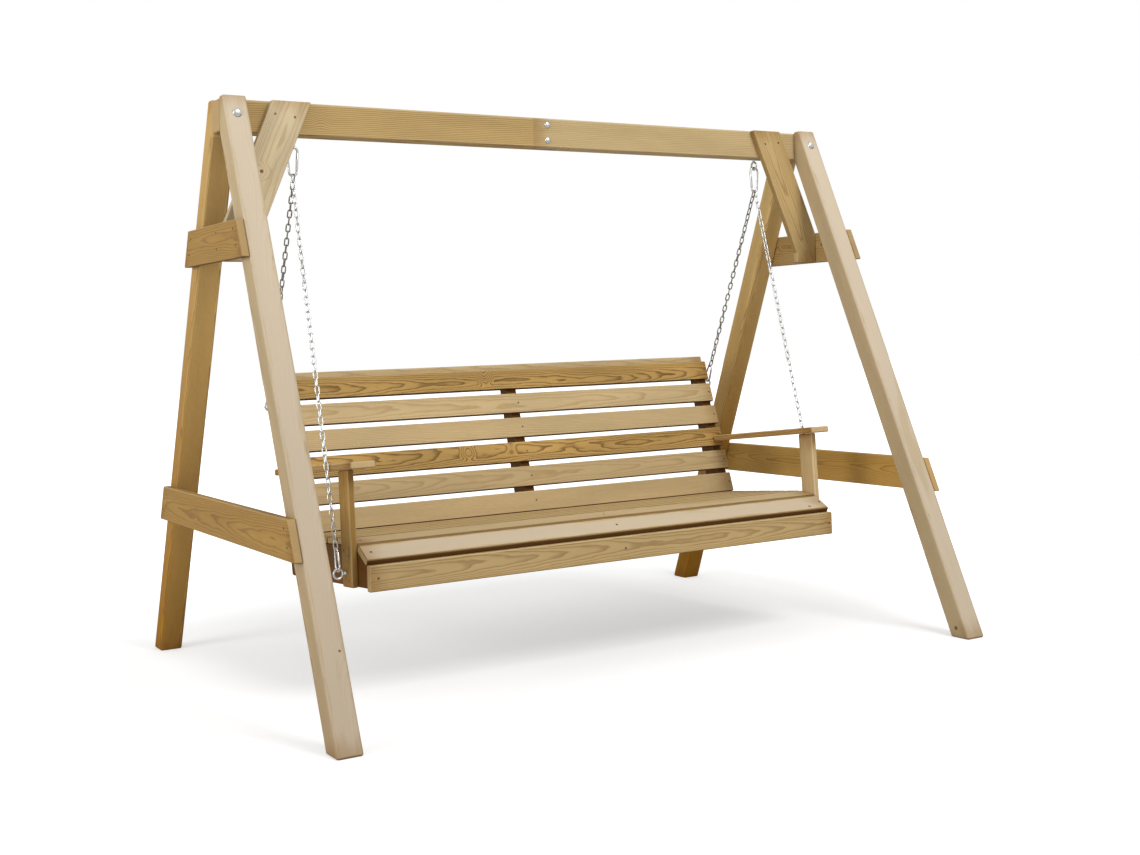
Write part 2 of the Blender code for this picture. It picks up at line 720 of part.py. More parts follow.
def build_seat(bench):
    """Fascia board and seat slats."""
    edge = (FASCIA_FRONT, FASCIA_BOTTOM + FASCIA_HEIGHT)
    place = bench @ Matrix.Translation((0, edge[0] + FASCIA_THICKNESS / 2, edge[1] - FASCIA_HEIGHT / 2))
    shape = block(BENCH_LENGTH, FASCIA_THICKNESS, FASCIA_HEIGHT)
    soften(add_object("fascia_board", shape, WOOD_PALE, SWING, place), BOARD_ROUND)
    for number, (start, angle, width) in enumerate(seat_lines(), 1):
        tilted_board(f"seat_slat_{number}", start, angle, width, SLAT_THICKNESS, BENCH_LENGTH, WOOD_PALE, bench)


def build_back(bench):
    """Six boards on the uprights' front edges and a batten on their tops."""
    upward = math.pi / 2 - BACK_LEAN
    for number in range(BACK_BOARDS):
        low = BACK_TOP - BACK_UP * (number * BACK_PITCH + BACK_BOARD_WIDTH)
        finish = WOOD_BROWN if number in (0, 3) else WOOD_OLIVE
        name = f"back_board_{number + 1}"
        edge = (low.y, low.z)
        tilted_board(name, edge, upward, BACK_BOARD_WIDTH, BACK_BOARD_THICKNESS, BENCH_LENGTH, finish, bench)
    edge = upright_top() + BACK_UP * (CAP_THICKNESS + FIT)
    edge = (edge.y, edge.z)
    tilted_board("back_cap", edge, -BACK_LEAN, CAP_WIDTH, CAP_THICKNESS, BENCH_LENGTH, WOOD_PALE, bench)


def arm_top(y):
    """Height of the armrests' top face."""
    return ARM_FRONT_Z - (y - ARM_FRONT_Y) * math.tan(ARM_FALL)


def build_arms(bench):
    """Posts on the outer rails, and armrests notched round the back."""
    posts = {}
    run = math.tan(POST_LEAN)
    foot_z = rail_bottom(POST_FOOT_Y)
    half = POST_WIDTH / 2 / math.cos(POST_LEAN)
    top_z = arm_top(POST_FOOT_Y) - ARM_THICKNESS / math.cos(ARM_FALL) - FIT
    top_y = POST_FOOT_Y + (top_z - foot_z) * run
    outline = [
        (POST_FOOT_Y - half, rail_bottom(POST_FOOT_Y - half)),
        (POST_FOOT_Y + half, rail_bottom(POST_FOOT_Y + half)),
        (top_y + half, top_z - (top_y + half - POST_FOOT_Y) * math.tan(ARM_FALL)),
        (top_y - half, top_z - (top_y - half - POST_FOOT_Y) * math.tan(ARM_FALL)),
    ]
    notch_x = BENCH_END + FIT - ARM_INNER_X
    lean = math.tan(BACK_LEAN)
    under_front = arm_top(0) - ARM_THICKNESS / math.cos(ARM_FALL)
    board_front = (BACK_TOP.y + lean * (under_front - BACK_TOP.z)) / (1 + lean * math.tan(ARM_FALL))
    arm_length = (board_front + ARM_RETURN - ARM_FRONT_Y) / math.cos(ARM_FALL)
    notch_y = (board_front - FIT - ARM_FRONT_Y) / math.cos(ARM_FALL) - ARM_THICKNESS * math.tan(ARM_FALL)
    for side, sign in SIDES.items():
        middle = BENCH_END + FIT + POST_THICKNESS / 2
        place = bench @ Matrix.Translation((sign * middle, 0, 0))
        post = add_object(f"arm_post_{side}", plate(outline, POST_THICKNESS), WOOD_OLIVE, SWING, place)
        soften(post, BOARD_ROUND)
        posts[side] = post
        corners = [
            (0, 0),
            (ARM_WIDTH, 0),
            (ARM_WIDTH, arm_length),
            (notch_x, arm_length),
            (notch_x, notch_y),
            (0, notch_y),
        ]
        handed = [(sign * across, along) for across, along in corners]
        place = (
            bench
            @ Matrix.Translation((sign * ARM_INNER_X, ARM_FRONT_Y, ARM_FRONT_Z))
            @ Matrix.Rotation(-ARM_FALL, 4, "X")
            @ Matrix.Translation((0, 0, -ARM_THICKNESS / 2))
        )
        arm = add_object(f"armrest_{side}", plate(handed, ARM_THICKNESS, "z"), WOOD_PALE, SWING, place)
        soften(arm, BOARD_ROUND)
    return posts


def front_eye():
    """Middle of the front eye's ring on the right, in the bench's own place."""
    height = rail_bottom(POST_FOOT_Y) + FRONT_EYE_RISE
    y = POST_FOOT_Y + FRONT_EYE_RISE * math.tan(POST_LEAN) + EYE_SET_BACK
    return Vector((BENCH_END + FIT + POST_THICKNESS + EYE_STAND_OFF, y, height))


def rear_eye():
    """Middle of the rear eye's ring on the right, in the bench's own place."""
    level = upright_top() - BACK_UP * REAR_EYE_DROP
    depth = UPRIGHT_TOP_DEPTH + REAR_EYE_DROP * math.tan(UPRIGHT_TAPER)
    middle = level + BACK_IN * (depth / 2 + EYE_SET_BACK)
    return Vector((FRAME_OUTER_X + EYE_STAND_OFF, middle.y, middle.z))


def chain_reach(links):
    """Distance between the centres of the wires that a chain and its hook hang between."""
    to_chain = TOP_HOOK.wire + LINK_WIRE + FIT
    to_hook = LINK_WIRE + LOW_HOOK.wire - LINK_SEAT
    to_eye = LOW_HOOK.wire + EYE_WIRE + FIT
    return (links - 1) * LINK_PITCH + LINK_REACH + LOW_HOOK.reach - to_chain - to_hook - to_eye


def hang_bench():
    """Where the bench comes to hang on its chains, as a matrix."""
    lift = Vector((0, 0, EYE_RADIUS))
    front = front_eye() + lift
    rear = rear_eye() + lift
    front_across = front.x - TOP_EYE_X - CHAIN_SPACING
    rear_across = rear.x - TOP_EYE_X + CHAIN_SPACING
    front_fall = math.sqrt(chain_reach(FRONT_LINKS) ** 2 - front_across ** 2)
    rear_fall = math.sqrt(chain_reach(REAR_LINKS) ** 2 - rear_across ** 2)
    span = Vector((rear.y - front.y, rear.z - front.z))
    base = span.length
    along = (base ** 2 + front_fall ** 2 - rear_fall ** 2) / (2 * base)
    above = math.sqrt(front_fall ** 2 - along ** 2)
    unit = span / base
    hang = Vector((front.y, front.z)) + unit * along + Vector((-unit.y, unit.x)) * above
    return Matrix.Translation((0, -hang.x, HANG_Z - hang.y))


def hook_body_path(hook):
    """Centre line of a hook's bent wire, from its nose round both ends to its pin."""
    spread = hook.reach - hook.wide_radius - hook.narrow_radius
    tilt = math.asin((hook.wide_radius - hook.narrow_radius) / spread)
    wide_centre = (0, -hook.wide_radius)
    narrow_centre = (0, -hook.wide_radius - spread)
    wide_end = arc(wide_centre, hook.wide_radius, math.pi + tilt, -tilt, WIDE_STEPS)
    narrow_end = arc(narrow_centre, hook.narrow_radius, -tilt, tilt - math.pi, NARROW_STEPS)
    foot = narrow_end[-1]
    nose = wide_end[0]
    up = Vector((nose[0] - foot[0], nose[1] - foot[1])).normalized()
    end = Vector(foot) + up * (hook.gate_foot - hook.gate_radius - GATE_GAP)
    return wide_end + narrow_end + [tuple(end)]


def gate_line(hook):
    """Pin and tip of a hook's gate, as points in its plane."""
    path = hook_body_path(hook)
    nose = Vector(path[0])
    end = Vector(path[-1])
    up = (nose - end).normalized()
    return end + up * (hook.gate_radius + GATE_GAP), nose - up * GATE_GAP


def gate_shape(hook):
    """Gate along Z with its pin at zero, its foot rounded about the pin."""
    pin, tip = gate_line(hook)
    radius = hook.gate_radius
    bend = math.radians(45)
    profile = [
        (-radius, radius * math.tan(bend / 2)),
        (-radius * math.sin(bend), radius * math.cos(bend)),
        (0, radius),
        ((tip - pin).length, radius),
    ]
    return turned(profile, SHANK_SIDES)


def place_gate(hook, hook_place):
    """Turn the gate's own place to lie along its line in the hook."""
    pin, tip = gate_line(hook)
    lean = math.atan2(tip.x - pin.x, tip.y - pin.y)
    return hook_place @ Matrix.Translation((pin.x, 0, pin.y)) @ Matrix.Rotation(lean, 4, "Y")


def build_gate(name, hook, hook_place):
    """Sprung gate of a hook, with its origin on its pin."""
    gate = add_object(name, gate_shape(hook), STEEL, SWING, place_gate(hook, hook_place))
    shade_round(gate)


def link_path():
    """Eight corners round a link, whose flats touch its oval centre line."""
    across = LINK_WIDTH / 2 - LINK_WIRE
    up = LINK_REACH / 2
    corner = across * math.tan(math.pi / 8)
    shoulder = up - across + corner
    quarter = [(corner, up), (across, shoulder)]
    right = quarter + [(x, -z) for x, z in reversed(quarter)]
    return right + [(-x, -z) for x, z in right]


def frame_at(point, up, across):
    """Matrix at a point with local Z along up, and local X as near across as it can be."""
    z_axis = up.normalized()
    x_axis = (across - z_axis * across.dot(z_axis)).normalized()
    y_axis = z_axis.cross(x_axis)
    turn = Matrix((x_axis, y_axis, z_axis)).transposed().to_4x4()
    return Matrix.Translation(point) @ turn


def build_chain(name, links, top, bottom, twist):
    """Chain of links from the top hook's wire to a small hook in an eye.

    Every second link is turned a quarter, and the twist is shared out over them all.
    """
    up = (top - bottom).normalized()
    groups = (bmesh.new(), bmesh.new())
    first = top + up * (TOP_HOOK.wire + LINK_WIRE + FIT - LINK_REACH / 2)
    path = link_path()
    for number in range(links):
        centre = first - up * (number * LINK_PITCH)
        turn = math.pi / 2 * (number + 1) + twist * number / (links - 1)
        place = frame_at(centre, up, Vector((1, 0, 0))) @ Matrix.Rotation(turn, 4, "Z")
        bend_wire(groups[number % 2], path, LINK_WIRE, LINK_SIDES, closed=True, place=place)
    hook_place = low_hook_place(up, bottom)
    bend_wire(groups[links % 2], hook_body_path(LOW_HOOK), LOW_HOOK.wire, WIRE_SIDES, False, hook_place)
    chain = add_object(f"chain_{name}", groups[0], STEEL, SWING)
    combine(chain, add_cutter(f"chain_{name}_between", groups[1]), "UNION")
    shade_round(chain, LINK_SHARP_ANGLE)
    build_gate(f"hook_gate_{name}", LOW_HOOK, hook_place)


def low_hook_place(up, bottom):
    """Place of a small hook, its wide end down in the eye and its gate to the front."""
    bearing = bottom - up * (LOW_HOOK.wire + EYE_WIRE + FIT)
    return frame_at(bearing, -up, Vector((0, 1, 0)))


def build_hanging(bench, frames, posts):
    """Lower eyes, chains and hooks on both sides."""
    lift = Vector((0, 0, EYE_RADIUS))
    for side, sign in SIDES.items():
        mirror = Vector((sign, 1, 1))
        turn = Matrix.Rotation(-sign * math.pi / 2, 4, "Y")
        ends = {}
        for end, centre, depth in (
            ("front", front_eye(), FRONT_EYE_DEPTH),
            ("rear", rear_eye(), REAR_EYE_DEPTH),
        ):
            middle = bench @ (centre * mirror)
            woods = [frames["upright", side]]
            if end == "front":
                woods = [posts[side], frames["rail", side]]
            build_eye(f"bench_eye_{end}_{side}", Matrix.Translation(middle) @ turn, depth, woods, SWING)
            ends[end] = middle + lift
        hook_place = Matrix.Translation((sign * TOP_EYE_X, 0, PIVOT_Z))
        if sign == LEFT:
            hook_place = hook_place @ Matrix.Rotation(math.pi, 4, "Z")
        wire = bmesh.new()
        bend_wire(wire, hook_body_path(TOP_HOOK), TOP_HOOK.wire, WIRE_SIDES, closed=False)
        shade_round(add_object(f"top_hook_{side}", wire, STEEL, SWING, hook_place))
        build_gate(f"hook_gate_top_{side}", TOP_HOOK, hook_place)
        hang = Vector((sign * TOP_EYE_X, 0, HANG_Z))
        aside = Vector((sign * CHAIN_SPACING, 0, 0))
        build_chain(f"front_{side}", FRONT_LINKS, hang + aside, ends["front"], 0)
        build_chain(f"rear_{side}", REAR_LINKS, hang - aside, ends["rear"], sign * math.pi / 2)


def clear_scene():
    """Remove what the scene starts with."""
    for item in list(bpy.data.objects):
        bpy.data.objects.remove(item, do_unlink=True)


clear_scene()
SWING = bpy.data.objects.new("swing_axis", None)
bpy.context.collection.objects.link(SWING)
SWING.location = (0, 0, PIVOT_Z)

frame_legs = build_legs()
frame_beams = build_beams()
build_cross_boards()
build_braces()
build_bolts(frame_legs, frame_beams)
build_top_eyes(frame_beams)

bench_place = hang_bench()
bench_frames = build_frames(bench_place)
build_seat(bench_place)
build_back(bench_place)
arm_posts = build_arms(bench_place)
build_hanging(bench_place, bench_frames, arm_posts)
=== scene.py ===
"""Looks of a garden swing: a slatted bench hung on chains under a timber A-frame.

Lengths are in metres, +Z is up, the beam runs along X and the bench faces -Y. Left and
right are as seen from in front of the bench.
"""

import json
import logging
import math
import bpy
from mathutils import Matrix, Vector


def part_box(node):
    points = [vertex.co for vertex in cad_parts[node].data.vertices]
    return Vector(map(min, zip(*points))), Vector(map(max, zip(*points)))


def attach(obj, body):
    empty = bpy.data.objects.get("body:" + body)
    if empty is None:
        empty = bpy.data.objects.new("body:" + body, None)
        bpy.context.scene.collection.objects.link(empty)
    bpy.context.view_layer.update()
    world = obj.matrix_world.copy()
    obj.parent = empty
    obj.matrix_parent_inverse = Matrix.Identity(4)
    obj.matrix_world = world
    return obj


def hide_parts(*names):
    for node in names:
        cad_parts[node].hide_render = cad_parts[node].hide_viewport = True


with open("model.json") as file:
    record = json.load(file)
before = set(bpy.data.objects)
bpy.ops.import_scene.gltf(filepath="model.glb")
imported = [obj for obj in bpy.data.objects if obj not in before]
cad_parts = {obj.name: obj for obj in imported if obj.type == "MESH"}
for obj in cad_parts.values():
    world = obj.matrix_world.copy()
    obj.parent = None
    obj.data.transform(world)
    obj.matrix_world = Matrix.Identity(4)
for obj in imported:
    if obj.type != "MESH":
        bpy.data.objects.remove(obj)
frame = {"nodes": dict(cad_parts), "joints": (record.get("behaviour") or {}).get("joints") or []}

import zlib
from dataclasses import dataclass, field, replace
from enum import Enum
from typing import ClassVar, Sequence

import bmesh
import bpy
import numpy as np
from mathutils import Matrix, Vector

Mesh = bpy.types.Mesh
Tree = bpy.types.NodeTree
Socket = bpy.types.NodeSocket

LOG = logging.getLogger("garden_swing")
MM = 0.001
# Play between pieces that fit together
FIT = 0.3 * MM
# Names with the sign of X or of Y there
SIDES = (("left", -1), ("right", 1))
ENDS = (("front", -1), ("rear", 1))
RIGHTWARD = Vector((1, 0, 0))
FORWARD = Vector((0, -1, 0))
# Faces that look this way are painted palest: painted light from the front and above
SUNWARD = np.array([0.0, -0.78, 0.62])


class Slot(Enum):
    """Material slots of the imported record."""

    PALE = "wood_pale"
    OLIVE = "wood_olive"
    BROWN = "wood_brown"
    STEEL = "galvanised_steel"


class Cut(Enum):
    """How a board was sawn from its log: where the pith lies, across and below its middle."""

    FLAT = (0.0, 0.048)
    SLANT = (0.040, 0.045)
    QUARTER = (0.105, 0.020)
    HEART = (0.024, 0.050)


class Body(Enum):
    """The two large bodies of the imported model."""

    FRAME = "frame"
    BENCH = "bench"


# Colour and node helpers

BLEND = {"data_type": "RGBA"}
TINT = {"data_type": "RGBA", "blend_type": "MULTIPLY"}
SMOOTH = {"interpolation_type": "SMOOTHSTEP"}


def linear(code: str) -> tuple[float, float, float, float]:
    """Turn an sRGB hex code to linear light.

    Args:
        code: Colour as "#rrggbb".

    Returns:
        Linear red, green and blue, and full alpha.
    """
    parts = np.array([int(code[at : at + 2], 16) for at in (1, 3, 5)]) / 255
    low = parts / 12.92
    high = ((parts + 0.055) / 1.055) ** 2.4
    return (*np.where(parts <= 0.04045, low, high).tolist(), 1.0)


def put(tree: Tree, kind: str, inputs: dict, out: str | int = 0, **settings: object) -> Socket:
    """Add a node, set its properties, and link or fill its inputs.

    Args:
        tree: Node tree to add to.
        kind: Node type, without its prefix.
        inputs: Socket or value for each input, by name or number.
        out: The output that is wanted, by name or number.
        settings: Properties of the node.

    Returns:
        The wanted output.
    """
    node = tree.nodes.new("ShaderNode" + kind)
    for key, value in settings.items():
        setattr(node, key, value)
    for key, value in inputs.items():
        if isinstance(value, Socket):
            tree.links.new(value, node.inputs[key])
        else:
            node.inputs[key].default_value = value
    return node.outputs[out]


def stored(tree: Tree, name: str) -> list[Socket]:
    """Parts X, Y and Z of an attribute that a board carries."""
    whole = put(tree, "Attribute", {}, "Vector", attribute_name=name)
    return list(put(tree, "SeparateXYZ", {0: whole}).node.outputs)


def drawn_out(
    tree: Tree,
    grain: Socket,
    waves: tuple[float, float, float],
    detail: float,
    roughness: float = 0.5,
    out: str | int = 0,
) -> Socket:
    """Noise whose patches are drawn out along the grain.

    Args:
        tree: The material's nodes.
        grain: The board's own coordinates.
        waves: Patches in a metre along, across and through the board.
        detail: Layers of finer noise.
        roughness: Strength of each layer against the one before.
        out: The output that is wanted, a value or a colour.

    Returns:
        The noise.
    """
    place = put(tree, "VectorMath", {0: grain, 1: waves}, operation="MULTIPLY")
    noise = {"Vector": place, "Scale": 1.0, "Detail": detail, "Roughness": roughness}
    return put(tree, "TexNoise", noise, out)


def new_material(name: str) -> tuple[bpy.types.Material, bpy.types.Node]:
    """Make an empty node material.

    Args:
        name: The material's name.

    Returns:
        The material and its Principled shader.
    """
    made = bpy.data.materials.new(name)
    made.use_nodes = True
    return made, made.node_tree.nodes["Principled BSDF"]


# Finishes


@dataclass(frozen=True)
class Finish:
    """What a piece is made of: a material that is built once, and its slot in the record."""

    name: str
    slot: Slot
    kind: ClassVar[str] = ""

    def material(self) -> bpy.types.Material:
        """Return the finish's material, built at its first use."""
        return bpy.data.materials.get(self.name) or self.build()

    def build(self) -> bpy.types.Material:
        """Build the material."""
        raise NotImplementedError


@dataclass(frozen=True)
class PineFinish(Finish):
    """Planed, pressure-treated pine: matt, olive from the salts, with dark late wood in each ring.

    The rings are round the pith, so faces and ends show the same log. Where a face is paled
    the tint fades to a pale, greyer straw colour: painted light on faces turned to the light,
    and wear with a painted highlight on arrises. Where the tone is low a darker tint shows:
    painted shade, with the salts' staining. Ring is the width of a year's growth, and wander
    how far the rings stray. Contrast, heart, patches and planed are the strengths of the late
    wood, the heartwood, soft clouds and the planer's ripple. Marks are single knots: the place
    of each in the world, and its radius.
    """

    sapwood: str
    latewood: str
    heartwood: str
    # Pale straw of painted light on faces turned to the light, and of arrises paled by wear and a painted
    # highlight
    lit_and_rubbed_colour: str
    ring: float = 2.6 * MM
    contrast: float = 0.55
    heart: float = 0.0
    wander: float = 16 * MM
    patches: float = 0.10
    planed: float = 0.0
    # Tint where the tone is low: painted shade, with the salts' staining
    shade_and_stain: str = "#745010"
    marks: tuple[tuple[float, float, float, float], ...] = ()
    kind: ClassVar[str] = "wood"

    def build(self) -> bpy.types.Material:
        """Build the material from the attributes that a board carries.

        Returns:
            The new material.
        """
        early_rough, late_rough, gloss = 0.68, 0.52, 0.14
        relief, strength, fibre_share = 0.3 * MM, 0.35, 0.5
        made, shader = new_material(self.name)
        tree = made.node_tree
        grain = put(tree, "Attribute", {}, "Vector", attribute_name="grain")
        knot, bulge, rim = self.knots(tree, grain)
        late, radius = self.rings(tree, grain, bulge)
        # Real fibres are finer than a tenth of a millimetre. These are as coarse as needed to show.
        fibre = drawn_out(tree, grain, (14.0, 620.0, 620.0), 3.0, 0.6)
        wood = self.grown(tree, late, radius, fibre)
        wood = self.aged(tree, wood, grain)
        wood = self.worked(tree, wood, grain, knot, rim)
        tree.links.new(wood, shader.inputs["Base Color"])
        rough = put(tree, "MapRange", {"Value": late, "To Min": early_rough, "To Max": late_rough})
        tree.links.new(rough, shader.inputs["Roughness"])
        height = put(tree, "Math", {0: fibre, 1: fibre_share, 2: late}, operation="MULTIPLY_ADD")
        bump = put(tree, "Bump", {"Strength": strength, "Distance": relief, "Height": height})
        tree.links.new(bump, shader.inputs["Normal"])
        shader.inputs["Specular IOR Level"].default_value = gloss
        return made

    def knots(self, tree: Tree, grain: Socket) -> tuple[Socket, Socket, Socket]:
        """Scatter small knots that run through the board, about one in a long slat.

        They lie in a fifth of the cells of a loose grid, and at the finish's marks. In the
        other cells the nearest knot counts as a metre further off than the cell's middle.

        Args:
            tree: The material's nodes.
            grain: The board's own coordinates.

        Returns:
            Where knots are, how far the rings bulge round them, and where their rims are.
        """
        cell, looseness, share = 0.17, 0.5, 0.20
        size, reach, push = 6.0 * MM, 42 * MM, 14 * MM
        flat = put(tree, "VectorMath", {0: grain, 1: (1 / cell, 1 / cell, 0)}, operation="MULTIPLY")
        cells = {"Vector": flat, "Scale": 1.0, "Randomness": looseness}
        middle = put(tree, "TexVoronoi", cells, "Distance")
        chance = put(tree, "SeparateXYZ", {0: middle.node.outputs["Color"]})
        bare = put(tree, "Math", {0: chance, 1: share}, operation="GREATER_THAN")
        away = put(tree, "Math", {0: middle, 1: cell, 2: bare}, operation="MULTIPLY_ADD")
        spot = put(tree, "TexCoord", {}, "Object")
        for *mark, radius in self.marks:
            near = put(tree, "VectorMath", {0: spot, 1: mark}, "Value", operation="DISTANCE")
            near = put(tree, "Math", {0: near, 1: size / radius}, operation="MULTIPLY")
            away = put(tree, "Math", {0: away, 1: near}, operation="MINIMUM")
        knot = {"Value": away, "From Min": size * 1.25, "From Max": size * 0.8}
        bulge = {"Value": away, "From Min": reach, "From Max": 0.0, "To Max": push}
        rim = {"Value": away, "From Min": size * 0.5, "From Max": size}
        knot, bulge, rim = (put(tree, "MapRange", step, **SMOOTH) for step in (knot, bulge, rim))
        return knot, bulge, rim

    def rings(self, tree: Tree, grain: Socket, bulge: Socket) -> tuple[Socket, Socket]:
        """Draw growth rings about the pith, which wander and taper along the tree.

        Args:
            tree: The material's nodes.
            grain: The board's own coordinates.
            bulge: How far knots push the rings out.

        Returns:
            The late wood's share, and the distance from the pith.
        """
        taper = 0.016
        # Place in a ring and the late wood's share there: a slow rise and a sudden end
        stops = ((0.0, 0.02), (0.50, 0.12), (0.76, 0.75), (0.88, 1.0), (1.0, 0.02))
        noise = drawn_out(tree, grain, (1.5, 6.5, 6.5), 5.0, out="Color")
        reach = 2 * self.wander
        shift = {0: noise, 1: (0.0, reach, reach), 2: (0.0, -self.wander, -self.wander)}
        shift = put(tree, "VectorMath", shift, operation="MULTIPLY_ADD")
        bent = put(tree, "VectorMath", {0: grain, 1: shift}, operation="ADD")
        flat = put(tree, "VectorMath", {0: bent, 1: (0.0, 1.0, 1.0)}, operation="MULTIPLY")
        radius = put(tree, "VectorMath", {0: flat}, "Value", operation="LENGTH")
        radius = put(tree, "Math", {0: radius, 1: bulge}, operation="ADD")
        along = put(tree, "SeparateXYZ", {0: grain})
        coned = put(tree, "Math", {0: along, 1: taper, 2: radius}, operation="MULTIPLY_ADD")
        count = put(tree, "Math", {0: coned, 1: self.ring}, operation="DIVIDE")
        within = put(tree, "Math", {0: count}, operation="FRACT")
        late = put(tree, "ValToRGB", {0: within})
        ramp = late.node.color_ramp.elements
        for number, (place, value) in enumerate(stops):
            stop = ramp[number] if number < 2 else ramp.new(place)
            stop.position = place
            stop.color = (value, value, value, 1.0)
        return late, radius

    def grown(self, tree: Tree, late: Socket, radius: Socket, fibre: Socket) -> Socket:
        """Colour the wood as it grew: early and late wood, heart and fine streaks.

        Args:
            tree: The material's nodes.
            late: The late wood's share.
            radius: Distance from the pith.
            fibre: Fine noise along the grain.

        Returns:
            The colour.
        """
        sap_starts, heart_ends = 62 * MM, 30 * MM
        share = put(tree, "Math", {0: late, 1: self.contrast}, operation="MULTIPLY")
        dark = linear(self.latewood)
        outer = put(tree, "Mix", {0: share, 6: linear(self.sapwood), 7: dark}, 2, **BLEND)
        inner = put(tree, "Mix", {0: share, 6: linear(self.heartwood), 7: dark}, 2, **BLEND)
        heart = {"Value": radius, "From Min": sap_starts, "From Max": heart_ends, "To Max": self.heart}
        heart = put(tree, "MapRange", heart, **SMOOTH)
        wood = put(tree, "Mix", {0: heart, 6: outer, 7: inner}, 2, **BLEND)
        streak = {"Value": fibre, "From Min": 0.30, "From Max": 0.70, "To Min": 0.90, "To Max": 1.07}
        streak = put(tree, "MapRange", streak)
        return put(tree, "Mix", {0: 1.0, 6: wood, 7: streak}, 2, **TINT)

    def aged(self, tree: Tree, wood: Socket, grain: Socket) -> Socket:
        """Lay on soft clouds, painted light that pales faces turned to the light, arrises paled by wear and
        a painted highlight, and darker ends.

        Args:
            tree: The material's nodes.
            wood: The wood's colour so far.
            grain: The board's own coordinates.

        Returns:
            The colour.
        """
        kept_tint, least, end_darkening_share, end_darkening_tint = 0.20, 0.4, 0.45, "#C09C62"
        light_and_wear = stored(tree, "state")[0]
        along, across, half_length = stored(tree, "place")
        cloud = drawn_out(tree, grain, (2.2, 14.0, 14.0), 2.0)
        ragged = drawn_out(tree, grain, (9.0, 34.0, 34.0), 3.0)

        def inward(part: Socket) -> Socket:
            """Distance from the board's end or arris, as a share of its half size."""
            outward = put(tree, "Math", {0: part}, operation="ABSOLUTE")
            return put(tree, "Math", {0: 1.0, 1: outward}, operation="SUBTRACT")

        def ragged_step(value: Socket, wave: float, low: float, high: float) -> Socket:
            """Step between two values, its place shifted to and fro by the ragged noise.

            Args:
                value: What the step depends on.
                wave: How far the noise shifts it.
                low: Value at which the step is nought.
                high: Value at which it is one.

            Returns:
                The step, from nought to one.
            """
            shift = put(tree, "Math", {0: ragged, 1: wave, 2: value}, operation="MULTIPLY_ADD")
            step = {"Value": shift, "From Min": low + wave / 2, "From Max": high + wave / 2}
            return put(tree, "MapRange", step, **SMOOTH)

        shade = {"To Min": 1 - self.patches, "To Max": 1 + self.patches / 2}
        shade = put(tree, "MapRange", {"Value": cloud, "From Min": 0.3, "From Max": 0.7, **shade})
        wood = put(tree, "Mix", {0: 1.0, 6: wood, 7: shade}, 2, **TINT)
        # Pale straw of painted light on faces turned to the light, in ragged patches away from the arrises
        lit_and_rubbed = put(tree, "Mix", {0: kept_tint, 6: linear(self.lit_and_rubbed_colour), 7: wood}, 2, **BLEND)
        open_face = ragged_step(inward(across), wave=0.55, low=0.10, high=0.30)
        bare = put(tree, "MapRange", {"Value": cloud, "From Min": 0.32, "From Max": 0.42}, **SMOOTH)
        bare = put(tree, "Math", {0: bare, 1: 1 - least, 2: least}, operation="MULTIPLY_ADD")
        bare = put(tree, "Math", {0: bare, 1: open_face}, operation="MULTIPLY")
        sunny = put(tree, "Math", {0: light_and_wear, 1: 0.0}, operation="MAXIMUM")
        bare = put(tree, "Math", {0: bare, 1: sunny}, operation="MULTIPLY")
        wood = put(tree, "Mix", {0: bare, 6: wood, 7: lit_and_rubbed}, 2, **BLEND)
        # Arrises pale to the same straw: wear, with a painted highlight
        rubbed_and_lit_arris = put(tree, "Math", {0: light_and_wear, 1: -1.0}, operation="MULTIPLY", use_clamp=True)
        wood = put(tree, "Mix", {0: rubbed_and_lit_arris, 6: wood, 7: lit_and_rubbed}, 2, **BLEND)
        # Darker towards the ends of the board
        end = put(tree, "Math", {0: inward(along), 1: half_length}, operation="MULTIPLY")
        darkening = ragged_step(end, wave=0.09, low=0.075, high=0.0)
        darkening = put(tree, "Math", {0: darkening, 1: end_darkening_share}, operation="MULTIPLY")
        return put(tree, "Mix", {0: darkening, 6: wood, 7: linear(end_darkening_tint)}, 2, **TINT)

    def worked(self, tree: Tree, wood: Socket, grain: Socket, knot: Socket, rim: Socket) -> Socket:
        """Lay on the planer's ripple, knots, sawn ends, and where the tone is low a darker tint: painted
        shade, with the salts' staining.

        Args:
            tree: The material's nodes.
            wood: The wood's colour so far.
            grain: The board's own coordinates.
            knot: Where knots are.
            rim: Where their rims are.

        Returns:
            The colour.
        """
        ripple_pitch, sawn_share = 6.5 * MM, 0.5
        knot_middle, knot_rim, sawn_wood, white = map(linear, ("#8A5E30", "#5A3C1C", "#C4AA7C", "#FFFFFF"))
        _, sawn, tone = stored(tree, "state")
        if self.planed:
            along = put(tree, "SeparateXYZ", {0: grain})
            phase = put(tree, "Math", {0: along, 1: math.tau / ripple_pitch}, operation="MULTIPLY")
            ripple = put(tree, "Math", {0: phase}, operation="SINE")
            ripple = put(tree, "Math", {0: ripple, 1: self.planed, 2: 1.0}, operation="MULTIPLY_ADD")
            wood = put(tree, "Mix", {0: 1.0, 6: wood, 7: ripple}, 2, **TINT)
        knotty = put(tree, "Mix", {0: rim, 6: knot_middle, 7: knot_rim}, 2, **BLEND)
        wood = put(tree, "Mix", {0: knot, 6: wood, 7: knotty}, 2, **BLEND)
        sawn = put(tree, "Math", {0: sawn, 1: sawn_share}, operation="MULTIPLY")
        wood = put(tree, "Mix", {0: sawn, 6: wood, 7: sawn_wood}, 2, **BLEND)
        # Darker tint where the tone is low: painted shade on undersides, sides and arrises, with the salts'
        # staining, the board's own tone and the darkening towards the ground
        shade_and_stain = put(tree, "Mix", {0: tone, 6: linear(self.shade_and_stain), 7: white}, 2, **BLEND)
        return put(tree, "Mix", {0: 1.0, 6: wood, 7: shade_and_stain}, 2, **TINT)


